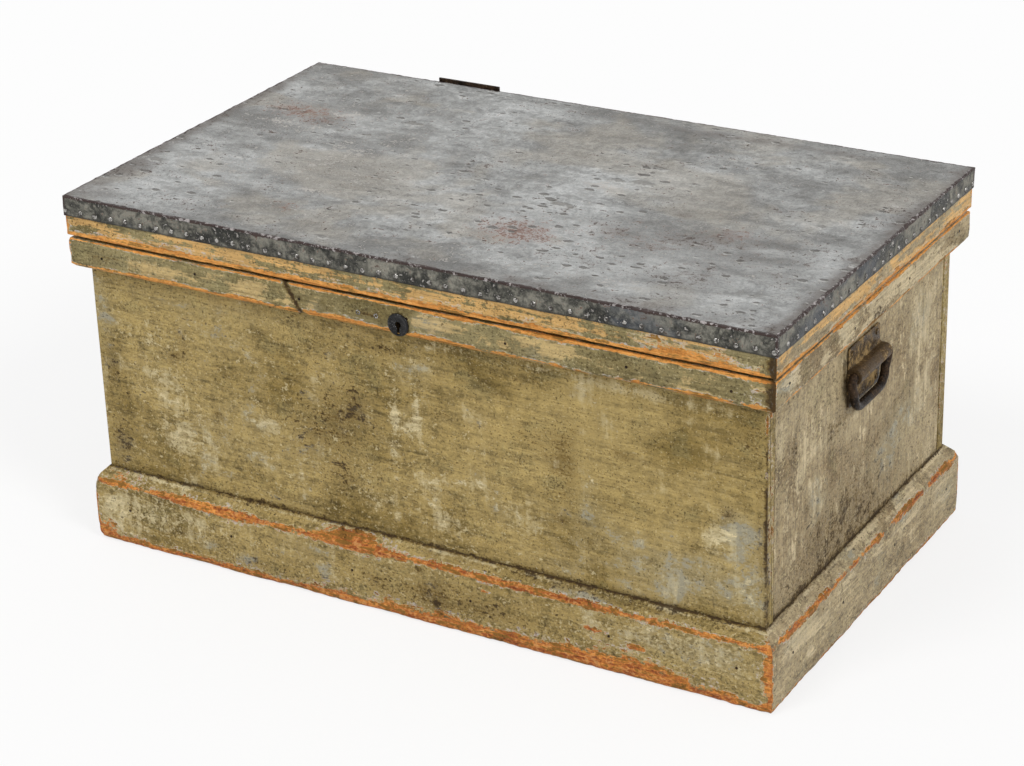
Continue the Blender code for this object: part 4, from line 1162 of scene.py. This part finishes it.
def make_plank(node, body, look, sunk=0.0, grow=0.0):
    """A plain board in place of a CAD box, along its longer side, with eased edges and slow waves.

    sunk lowers its top, and grow makes it wider on each side.
    """
    low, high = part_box(node)
    along_y = high.y - low.y > high.x - low.x
    start, end = (low.y, high.y) if along_y else (low.x, high.x)
    near, far = (low.x, high.x) if along_y else (-high.y, -low.y)
    corners = rectangle(near - grow, low.z, far + grow, high.z - sunk)
    outline = rounded_outline([(out, z, PLANK_EDGE, 0.0, PLANK_STEP) for out, z in corners])
    half = (end - start) / 2
    middle = (start + end) / 2
    verts, faces, _ = loft(outline, half, 0.0, PLANK_STEP, 0.0, len(node) + 50.0, PLANK_EDGE)
    verts = [(x + middle, y, z) for x, y, z in verts]
    fields = {"board": [random.Random(node).uniform(0, BOARD_SHIFT)] * len(verts)}
    turn = math.pi / 2 if along_y else 0.0
    return add_piece(node + "_wood", verts, faces, look, body, [node], turn, fields)


def make_lid_boards(look):
    """The panel under the sheet. Its top is sunk a little, to leave room for the sheet's dents."""
    for name in ("front", "middle", "rear"):
        board = make_plank(f"lid_board_{name}", "lid", look, SHEET_ROOM)
        if name == "front":
            low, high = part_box("lock_staple")
            cut(board, *prism(rectangle(low.x, low.y, high.x, high.y), low.z, high.z + CUT_ROOM))


# Lid sheet


def side_nails(side):
    """Places of the nails along a side of the lid, from its middle, not under a hinge leaf."""
    count = FRONT_NAILS if side in LONG_SIDES else END_NAILS
    reach = RUNS[side] + NAIL_REACH
    rng = random.Random(60 + SIDES.index(side))
    step = 2 * reach / (count - 1)
    places = [-reach + i * step + rng.uniform(-NAIL_STRAY, NAIL_STRAY) for i in range(count)]
    if side == "back":
        for end in ("left", "right"):
            low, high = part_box(f"hinge_{end}_upper_leaf")
            room = (high.x - low.x) / 2 + NAIL_CLEAR
            places = [x for x in places if abs(-x - (low.x + high.x) / 2) > room]
    return places


def top_relief(xs, ys):
    """Heights of the sheet's top over a grid, and distances from its edge: slow waves and small dents."""
    grid_x, grid_y = np.meshgrid(xs, ys)
    relief = np.zeros_like(grid_x)
    for (j, i), x in np.ndenumerate(grid_x):
        y = grid_y[j, i]
        slow = noise.noise(Vector((4.5 * x, 6.0 * y, 1.0)))
        quick = noise.noise(Vector((17 * x, 24 * y, 4.0)))
        hammered = noise.noise(Vector((38 * x, 55 * y, 8.0)))
        relief[j, i] = SLOW_WAVE * slow + QUICK_WAVE * quick + HAMMER_MARK * hammered
    rng = random.Random(70)
    for _ in range(DENTS):
        x = rng.uniform(xs[0], xs[-1])
        y = rng.uniform(ys[0], ys[-1])
        radius = rng.uniform(*DENT_RADII)
        depth = rng.choice((1, 1, 1, -0.5)) * rng.uniform(*DENT_DEPTHS)
        reach = ((grid_x - x) / (1.5 * radius)) ** 2 + ((grid_y - y) / radius) ** 2
        relief -= depth * np.exp(-reach)
    inset = np.minimum(np.abs(xs[-1]) - np.abs(grid_x), np.minimum(grid_y - ys[0], ys[-1] - grid_y))
    relief = np.clip(relief, *RELIEF_RANGE)
    return relief * (1 - np.exp(-((inset / RELIEF_EDGE) ** 2))) - SHEET_SINK, inset


def crust(x, y, z):
    """Small lumps along the sheet's folded edges."""
    small = noise.noise(Vector((110 * x, 110 * y, 110 * z)))
    large = noise.noise(Vector((32 * x, 32 * y, 5.0)))
    return CRUST_SMALL * small + CRUST_LARGE * large


def sheet_fields(x, y, inset, skirt):
    """The fields that the sheet's material reads. skirt is 0 on the top and 1 on the skirt."""
    return {
        "rust": marks(LID_RUST, x, y) * (1 - skirt),
        "pale": marks(LID_PALE_AND_REFLECTION, x, y) * (1 - skirt),
        "dirt_and_shade": marks(LID_DIRT_AND_SHADE, x, y) * (1 - skirt),
        "edge": CRUST_AMOUNT * math.exp(-inset / CRUST_REACH),
        "skirt": skirt,
    }


def skirt_fields(x, y, skirt, fold, drop, corner_gap, nail_gap):
    """The same on the fold and the skirt: dark at its corners, along its hem and round its nails."""
    fields = sheet_fields(x, y, corner_gap, skirt)
    fields["edge"] = max(0.9 * fold, fields["edge"])
    ring = math.hypot(nail_gap, SHEET_DROP - drop - NAIL_RISE) / (1.3 * NAIL_HEAD)
    fields["dirt_and_shade"] = 0.7 * math.exp(-(SHEET_DROP - drop) / HEM_SOIL) + math.exp(-ring * ring)
    return fields


def skirt_offset(x, y, out, drop, skirt, fold):
    """How far out and up a point of the fold or skirt lies from the top's edge, with lumps."""
    lump = crust(x, y, drop) * (0.3 + fold)
    wobble = SKIRT_WOBBLE * noise.noise(Vector((20 * x, 20 * y, 30 * drop))) * skirt
    hem = HEM_WOBBLE * noise.noise(Vector((26 * x, 26 * y, 9.0))) * max(0.0, drop / SHEET_DROP - 0.8) * 5
    return out + lump - SKIRT_SINK * skirt + wobble, -SHEET_SINK - drop + 0.4 * lump + hem


def skirt_steps():
    """How far out and down each row of the fold and the skirt lies from the top's edge."""
    turns = [math.pi / 2 * k / ARC_STEPS for k in range(1, ARC_STEPS + 1)]
    steps = [(SHEET_FOLD * math.sin(t), SHEET_FOLD * (1 - math.cos(t))) for t in turns]
    straight = SHEET_DROP - SHEET_FOLD
    return steps + [(SHEET_FOLD, SHEET_FOLD + straight * k / SKIRT_ROWS) for k in range(1, SKIRT_ROWS + 1)]


def grid_edge(width, last):
    """The edge of the top's grid, as (row, column, way out), and the ways out at its corners."""
    loop = [(0, i, (0, -1)) for i in range(width)]
    loop += [(j, width - 1, (1, 0)) for j in range(1, last + 1)]
    loop += [(last, i, (0, 1)) for i in range(width - 2, -1, -1)]
    loop += [(j, 0, (-1, 0)) for j in range(last - 1, 0, -1)]
    corners = {(0, 0): (-1, -1), (0, width - 1): (1, -1), (last, width - 1): (1, 1), (last, 0): (-1, 1)}
    return loop, corners


def sheet_top(xs, ys, height):
    """Points, fields and faces of the sheet's top."""
    relief, insets = top_relief(xs, ys)
    verts = []
    rows = []
    for j, y in enumerate(ys):
        for i, x in enumerate(xs):
            verts.append((x, y, height + relief[j, i]))
            rows.append(sheet_fields(x, y, insets[j, i], 0.0))
    width = len(xs)
    faces = []
    for j in range(len(ys) - 1):
        for i in range(width - 1):
            a = j * width + i
            faces.append([a, a + 1, a + width + 1, a + width])
    return verts, rows, faces


def make_lid_sheet(look):
    """One dented sheet over the lid's top, folded down all round and nailed. Returns the nails' places."""
    node = "lid_sheet"
    low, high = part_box(node)
    half_x = high.x - NAIL_ROOM - SHEET_FOLD
    front = low.y + NAIL_ROOM + SHEET_FOLD
    back = high.y - SHEET_FOLD
    xs = spread(half_x, SHEET_STEP, SHEET_CROWD)
    ys = spread((back - front) / 2, SHEET_STEP, SHEET_CROWD) + (back + front) / 2
    verts, rows, faces = sheet_top(xs, ys, high.z)
    loop, corners = grid_edge(len(xs), len(ys) - 1)
    nails = {side: side_nails(side) for side in SIDES}
    previous = [j * len(xs) + i for j, i, _ in loop]
    for out, drop in skirt_steps():
        start = len(verts)
        fold = math.exp(-max(0.0, drop - SHEET_FOLD) / FOLD_REACH)
        skirt = min(1.0, drop / SHEET_FOLD)
        for j, i, way in loop:
            x, y = xs[i], ys[j]
            way_x, way_y = corners.get((j, i), way)
            far, rise = skirt_offset(x, y, out, drop, skirt, fold)
            verts.append((x + way_x * far, y + way_y * far, high.z + rise))
            corner_gap = half_x - abs(x) if way[1] else min(y - front, back - y)
            along = y * way[0] - x * way[1]
            nail_gap = min(abs(along - nail) for nail in nails[SIDES[WAYS.index(way)]])
            rows.append(skirt_fields(x, y, skirt, fold, drop, corner_gap, nail_gap))
        for k in range(len(loop)):
            n = (k + 1) % len(loop)
            faces.append([previous[n], previous[k], start + k, start + n])
        previous = [start + k for k in range(len(loop))]

    fields = {name: [row[name] for row in rows] for name in rows[0]}
    sheet = add_piece(node + "_dented", verts, faces, look, "lid", [node], 0.0, fields)
    thicken = sheet.modifiers.new("thickness", "SOLIDIFY")
    thicken.thickness = SHEET_THICK
    thicken.offset = -1
    return nails


def make_sheet_nails(nails, look):
    """Domed nail heads along the skirt of the sheet, none of them quite alike."""
    low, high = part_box("lid_sheet")
    end = high.x - NAIL_ROOM
    faces_out = {"front": -low.y - NAIL_ROOM, "right": end, "back": high.y, "left": end}
    for side in SIDES:
        rng = random.Random(80 + SIDES.index(side))
        face = faces_out[side]
        shapes = []
        for along in nails[side]:
            size = NAIL_HEAD * rng.uniform(0.9, 1.08)
            dome = NAIL_DOME * rng.uniform(0.85, 1.0)
            shares = ((1, 0), (0.92, 0.35), (0.70, 0.72), (0.38, 0.94), (0, 1))
            profile = [(size, -NAIL_ROOT)] + [(size * wide, dome * tall) for wide, tall in shares]
            height = low.z + NAIL_RISE + rng.uniform(-NAIL_LIFT, NAIL_LIFT)
            spot = facing_out((along, -face, height), rng.uniform(0, 6))
            tilt = Matrix.Rotation(rng.uniform(-NAIL_LEAN, NAIL_LEAN), 4, "X")
            shapes.append(moved(lathe(profile, 12), spot @ tilt))
        verts, faces = gather(shapes)
        add_piece(f"sheet_nails_{side}", verts, faces, look, "lid", (), turn_of(side))


# Iron


def screw_shape(rng):
    """A slotted screw head: two half discs on a thin disc."""
    radius = SCREW_HEAD * rng.uniform(0.95, 1.02)
    half = math.asin(SCREW_SLOT / 2 / radius)
    turns = [half + (math.pi - 2 * half) * i / 12 for i in range(13)]
    moon = [(radius * math.cos(t), radius * math.sin(t)) for t in turns]
    under = [(-x, -y) for x, y in moon]
    return gather([
        prism(circle(radius, 24), -SCREW_ROOT, SCREW_RISE * 0.35),
        prism(moon, SCREW_RISE * 0.3, SCREW_RISE, 0.9),
        prism(under, SCREW_RISE * 0.3, SCREW_RISE, 0.9),
    ])


def make_screws(name, places, body, look, turn=0.0):
    """Slotted screw heads at (along, out, height) places of a side."""
    rng = random.Random(name)
    shapes = [moved(screw_shape(rng), facing_out((x, -out, z), rng.uniform(0, 3))) for x, out, z in places]
    verts, faces = gather(shapes)
    piece = add_piece(name, verts, faces, look, body, (), turn)
    piece.data.shade_flat()


def make_hinge_screws(look):
    for end in ("left", "right"):
        low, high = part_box(f"hinge_{end}_lower_leaf")
        middle = -(low.x + high.x) / 2
        reach = (high.x - low.x) / 2 - SCREW_EDGE
        out = HALF_DEPTH + LOWER_LEAF_FACE
        places = [(middle + k * reach, out, low.z + LOWER_SCREW_RISE) for k in (-1, 0, 1)]
        make_screws(f"hinge_{end}_lower_screws", places, "chest", look, turn_of("back"))
        out = HALF_DEPTH + UPPER_LEAF_FACE
        heights = (UPPER_SCREW_HEIGHT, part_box(f"hinge_{end}_upper_leaf")[1].z - SCREW_EDGE)
        places = [(middle + k * reach, out, z) for k in (-1, 1) for z in heights]
        make_screws(f"hinge_{end}_upper_screws", places, "lid", look, turn_of("back"))


def plate_profile(foot, top, axis, barrel, outer):
    """The corners of a lift plate's outline, with a barrel about its axis that stands out to outer."""
    return [
        (STRIP_INNER, foot, 0.0003, 0.0, 0.02),
        (PLATE_THICK, foot, 0.0012, 0.0, 0.006),
        (PLATE_THICK, axis - barrel, 0.0030, 0.0, 0.004),
        (outer, axis - barrel, BARREL_ROUND, 0.0, 0.004),
        (outer, axis + barrel, BARREL_ROUND, 0.0, 0.004),
        (PLATE_THICK, axis + barrel, 0.0030, 0.0, 0.006),
        (PLATE_THICK, top, 0.0012, 0.0, 0.02),
        (STRIP_INNER, top, 0.0003, 0.0, 0.02),
    ]


def make_ring_plate(side, look):
    """A forged plate that wraps round the lift ring's rod, with a bore for it, and four screws."""
    node = f"ring_plate_{side}"
    low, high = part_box(node)
    ring_low, ring_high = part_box(f"lift_ring_{side}")
    face = HALF_LENGTH
    rod = (ring_high.x - ring_low.x) / 2
    axis_out = abs(ring_low.x + ring_high.x) / 2 - face
    axis_z = ring_high.z - rod
    outer = max(abs(low.x), abs(high.x)) - face
    half = (high.y - low.y) / 2
    middle = (low.y + high.y) / 2 * (1 if side == "right" else -1)
    outline = rounded_outline(plate_profile(low.z, high.z, axis_z, outer - axis_out + BARREL_GROW, outer))
    seed = 90.0 if side == "right" else 95.0
    verts, faces, _ = loft(outline, half, face, PLATE_STEP, 0.0, seed, PLATE_END)
    fields = {"rubbed": [float(-y - face > PLATE_THICK + RUB_RISE) for _, y, _ in verts]}
    forged = []
    for x, y, z in verts:
        gone_top, deep_top = clamp_corner(half - abs(x), high.z - z, PLATE_CORNER)
        gone, deep = clamp_corner(gone_top, z - low.z, PLATE_CORNER)
        height = low.z + deep if z < axis_z else high.z - deep_top
        forged.append((math.copysign(half - gone, x) + middle, y, height))
    turn = turn_of(side)
    piece = add_piece(node + "_forged", forged, faces, look, "chest", [node], turn, fields)
    bore = prism(circle(rod + BORE_ROOM, 32), -half - CUT_REACH, half + CUT_REACH)
    along = Matrix.Translation((middle, -face - axis_out, axis_z)) @ Matrix.Rotation(math.pi / 2, 4, "Y")
    cut(piece, *moved(bore, along))
    reach = half - SCREW_EDGE
    heights = (low.z + SCREW_EDGE, high.z - SCREW_EDGE)
    places = [(middle + k * reach, face + PLATE_THICK, z) for k in (-1, 1) for z in heights]
    make_screws(f"ring_plate_{side}_screws", places, "chest", look, turn)


def ring_path(half, drop):
    """The lift ring's centreline in X and Z, below its axis, with tight upper and rounder lower corners."""
    top = RING_TOP_BEND
    low = RING_FOOT_BEND
    foot = RING_FOOT * half
    bends = (
        (half - top, -top, top, 0),
        (top - half, -top, top, 90),
        (low - foot, low - drop, low, 180),
        (foot - low, low - drop, low, 270),
    )
    corners = []
    for x, z, radius, first in bends:
        for k in range(9):
            turn = math.radians(first + 90 * k / 8)
            corners.append((Vector((x + radius * math.cos(turn), z + radius * math.sin(turn))), RING_STEP))
    return divided(corners)


def make_lift_ring(side, look):
    """A forged ring: a rod bent round, a little uneven."""
    node = f"lift_ring_{side}"
    low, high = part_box(node)
    rod = (high.x - low.x) / 2
    axis = Vector(((low.x + high.x) / 2, (low.y + high.y) / 2, high.z - rod))
    path = ring_path((high.y - low.y) / 2 - rod, axis.z - low.z - rod)
    sides = RING_SIDES
    verts = []
    for k, point in enumerate(path):
        tangent = (path[(k + 1) % len(path)] - path[k - 1]).normalized()
        normal = Vector((tangent.y, -tangent.x))
        for s in range(sides):
            turn = 2 * math.pi * s / sides
            lump = noise.noise(Vector((90 * point.x, 90 * point.y, 2.0 * math.cos(turn) + axis.x)))
            radius = rod * (0.965 + 0.035 * lump)
            spot = point + normal * (radius * math.cos(turn))
            verts.append((axis.x + radius * math.sin(turn), axis.y + spot.x, axis.z + spot.y))
    faces = []
    for k in range(len(path)):
        n = (k + 1) % len(path)
        for s in range(sides):
            t = (s + 1) % sides
            faces.append([k * sides + s, n * sides + s, n * sides + t, k * sides + t])
    add_piece(node + "_forged", verts, faces, look, f"ring_{side}", [node])


def make_escutcheon(look):
    """A dished black disc with a raised rim and a keyhole."""
    low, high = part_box("escutcheon")
    radius = (high.x - low.x) / 2
    thick = high.y - low.y
    shares = (
        (0.98, 0.0), (1.0, 0.3), (0.97, 0.8), (0.90, 1.0), (0.82, 0.92),
        (0.72, 0.55), (0.50, 0.45), (0.36, 0.55), (0.20, 0.55), (0.0, 0.55),
    )
    profile = [(radius * wide, thick * tall) for wide, tall in shares]
    verts, faces = moved(lathe(profile, 40), facing_out((0, high.y, (low.z + high.z) / 2)))
    piece = add_piece("escutcheon_dished", verts, faces, look, "chest", ["escutcheon"])
    cut_keyhole(piece, low.y - CUT_REACH, high.y + CUT_REACH, 0.0)


def make_board_nails(look):
    """Flat heads of the nails that hold the strips."""
    shapes = []
    rng = random.Random(110)
    head = prism(circle(FLAT_NAIL, 12), -FLAT_ROOT, FLAT_RISE, 0.8)
    for side in SIDES:
        spin = Matrix.Rotation(turn_of(side), 4, "Z")
        reach = RUNS[side] - NAIL_END
        for kind, height, on_long, on_short in (BASE_NAILS, BAND_NAILS):
            out = STAND_OFFS[side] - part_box(f"{kind}_front")[0].y - HALF_DEPTH
            for x in np.linspace(-reach, reach, on_long if side in LONG_SIDES else on_short):
                stray_x = rng.uniform(-FLAT_STRAY, FLAT_STRAY)
                stray_z = rng.uniform(-FLAT_LIFT, FLAT_LIFT)
                place = (x + stray_x, NAIL_SINK - out, height + stray_z)
                shapes.append(moved(head, spin @ facing_out(place, rng.uniform(0, 6))))
    verts, faces = gather(shapes)
    add_piece("board_nails", verts, faces, look, "chest")


def make_band_holes(look):
    """Two old holes in the band, each with a pale metal ring."""
    profile = [
        (0.0032, -0.0008), (0.0032, 0.0002), (0.0026, 0.0006),
        (0.0018, 0.0003), (0.0014, -0.0006), (0.0, -0.0007),
    ]
    out = -HALF_DEPTH - BAND_HOLE_FACE
    ring = lathe(profile, 16)
    verts, faces = gather([moved(ring, facing_out((x, out, BAND_HOLE_HEIGHT))) for x in BAND_HOLES])
    add_piece("band_hole_rings", verts, faces, look, "chest")


def dress(node, material, bevel):
    """Gives a CAD node that keeps its shape a material and eased edges."""
    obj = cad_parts[node]
    obj.data.materials.clear()
    obj.data.materials.append(material)
    weld = obj.modifiers.new("weld", "WELD")
    weld.merge_threshold = 0.00001
    ease = obj.modifiers.new("ease", "BEVEL")
    ease.width = bevel
    ease.segments = 2
    ease.limit_method = "ANGLE"
    ease.angle_limit = math.radians(35)


# Stage


def make_camera():
    camera = bpy.data.objects.new("camera", bpy.data.cameras.new("camera"))
    bpy.context.collection.objects.link(camera)
    camera.data.lens = CAMERA_LENS
    turn = Matrix.Rotation(math.radians(CAMERA_AZIMUTH), 4, "Z")
    tilt = Matrix.Rotation(math.radians(90 - CAMERA_TILT), 4, "X")
    roll = Matrix.Rotation(math.radians(CAMERA_ROLL), 4, "Z")
    camera.matrix_world = Matrix.Translation(CAMERA_PLACE) @ turn @ tilt @ roll
    bpy.context.scene.camera = camera


def make_sun(name, strength, toward):
    lamp = bpy.data.lights.new(name, "SUN")
    lamp.energy = strength
    lamp.angle = math.radians(SUN_ANGLE)
    sun = bpy.data.objects.new(name, lamp)
    sun.rotation_euler = Vector(toward).to_track_quat("Z", "Y").to_euler()
    bpy.context.collection.objects.link(sun)


def background_rays(tree):
    """A socket that is 1 for rays from the camera, reflections and refractions, which show plain white."""
    path = tree.nodes.new("ShaderNodeLightPath")
    socket = path.outputs["Is Camera Ray"]
    for name in ("Is Glossy Ray", "Is Transmission Ray"):
        either = tree.nodes.new("ShaderNodeMath")
        either.operation = "MAXIMUM"
        tree.links.new(socket, either.inputs[0])
        tree.links.new(path.outputs[name], either.inputs[1])
        socket = either.outputs[0]
    return socket


def show_white(tree, lit, shown, share, output):
    """Lets the rays of a share see one shader, and all others another."""
    mix = tree.nodes.new("ShaderNodeMixShader")
    tree.links.new(share, mix.inputs[0])
    tree.links.new(lit.outputs[0], mix.inputs[1])
    tree.links.new(shown.outputs[0], mix.inputs[2])
    tree.links.new(mix.outputs[0], tree.nodes[output].inputs["Surface"])


def make_world():
    """A soft white sky, which the camera sees as plain white."""
    world = bpy.data.worlds.new("studio")
    bpy.context.scene.world = world
    world.use_nodes = True
    tree = world.node_tree
    light = tree.nodes["Background"]
    light.inputs["Color"].default_value = (1, 1, 1, 1)
    light.inputs["Strength"].default_value = SKY_STRENGTH
    shown = tree.nodes.new("ShaderNodeBackground")
    shown.inputs["Color"].default_value = (1, 1, 1, 1)
    show_white(tree, light, shown, background_rays(tree), "World Output")


def make_floor():
    """A white floor, which keeps a light shadow."""
    material = bpy.data.materials.new("floor")
    material.use_nodes = True
    tree = material.node_tree
    shader = tree.nodes["Principled BSDF"]
    shader.inputs["Base Color"].default_value = (FLOOR_GREY, FLOOR_GREY, FLOOR_GREY, 1)
    shader.inputs["Roughness"].default_value = 1.0
    shader.inputs["Specular IOR Level"].default_value = 0.0
    share = tree.nodes.new("ShaderNodeMath")
    share.operation = "MULTIPLY"
    share.inputs[1].default_value = 1 - FLOOR_SHADOW
    tree.links.new(background_rays(tree), share.inputs[0])
    glow = tree.nodes.new("ShaderNodeEmission")
    show_white(tree, shader, glow, share.outputs[0], "Material Output")
    mesh = bpy.data.meshes.new("floor")
    corners = rectangle(-FLOOR_HALF, -FLOOR_HALF, FLOOR_HALF, FLOOR_HALF)
    mesh.from_pydata([(x, y, -FLOOR_DROP) for x, y in corners], [], [(0, 1, 2, 3)])
    mesh.materials.append(material)
    floor = bpy.data.objects.new("floor", mesh)
    bpy.context.collection.objects.link(floor)


def make_stage():
    bpy.context.scene.view_settings.view_transform = "Standard"
    make_camera()
    make_sun("left_sun", *LEFT_SUN)
    make_sun("right_sun", *RIGHT_SUN)
    make_world()
    make_floor()


def make_looks():
    """Paint for the carcase, base, band and rim of each side.

    The front and right show in the photograph, and the other two sides are like them.
    """
    body = {}
    base = {}
    band = {}
    rim = {}
    for k, side in enumerate(SIDES):
        is_long = side in LONG_SIDES
        paint = LONG_PAINT if is_long else SHORT_PAINT
        edges = LONG_BAND if is_long else SHORT_BAND
        tops = LONG_RIM if is_long else SHORT_RIM
        body[side] = paint_look(f"body_paint_{side}", paint, 1.0 + k, upright=not is_long)
        base[side] = paint_look(f"base_paint_{side}", paint, 11.0 + k)
        band[side] = paint_look(f"band_paint_{side}", edges, 21.0 + k, (ORANGE, GOLD))
        rim[side] = paint_look(f"rim_paint_{side}", tops, 31.0 + k, (ORANGE, GOLD))
    return body, base, band, rim


def make_outside(steel):
    """The painted wood and the lid's sheet with its nails."""
    body, base, band, rim = make_looks()
    make_carcase(body)
    seen = (BASE_WEAR, BASE_DIRT, BASE_PALE, BASE_BLUE, ())
    make_strips("base_skirt", base, "chest", "body_paint", *BASE_STRIP, seen)
    seen = (BAND_WEAR, BAND_DIRT, BAND_PALE, BAND_BLUE, STRIP_CALM)
    make_strips("top_band", band, "chest", "band_paint", *BAND_STRIP, seen)
    seen = (RIM_WEAR, RIM_DIRT, (), (), STRIP_CALM)
    make_strips("lid_rim", rim, "lid", "rim_paint", *RIM_STRIP, seen)
    nails = make_lid_sheet(sheet_look())
    make_sheet_nails(nails, steel)


def make_iron(steel):
    """The lift handles, hinges and lock, the strips' nails and the old holes."""
    iron = iron_look("iron", IRON, IRON_RUST, 2.0, 0.3)
    painted_iron = iron_look("painted_iron", IRON_PAINT_DARK, IRON_PAINT, 5.0, 0.9)
    for side in ("left", "right"):
        make_ring_plate(side, painted_iron)
        make_lift_ring(side, iron)
        for node in ("lower_leaf", "upper_leaf", "pin"):
            dress(f"hinge_{side}_{node}", iron, IRON_EASE)
    make_hinge_screws(iron)
    make_escutcheon(black_look())
    make_board_nails(iron)
    make_band_holes(steel)
    for node in ("lock_case", "lock_bolt", "lock_staple"):
        dress(node, iron, IRON_EASE)


def make_bare_wood():
    """The skids, bottom, runners, lid boards and till."""
    pine = pine_look("bare_pine", 41.0)
    cross_pine = pine_look("bare_pine_cross", 43.0, True)
    for node in ("skid_front", "skid_middle", "skid_back"):
        make_plank(node, "chest", pine)
    for k in range(1, 6):
        make_plank(f"bottom_board_{k}", "chest", pine, grow=BOARD_GROW)
    for node in ("till_runner_left", "till_runner_right"):
        make_plank(node, "chest", pine)
    make_lid_boards(pine)
    make_plank("till_bottom", "till", pine)
    for node in ("till_front", "till_back"):
        dress(node, pine, WOOD_EASE)
    for node in ("till_left", "till_right"):
        dress(node, cross_pine, WOOD_EASE)


def main():
    make_stage()
    steel = nail_look()
    make_outside(steel)
    make_iron(steel)
    make_bare_wood()


main()
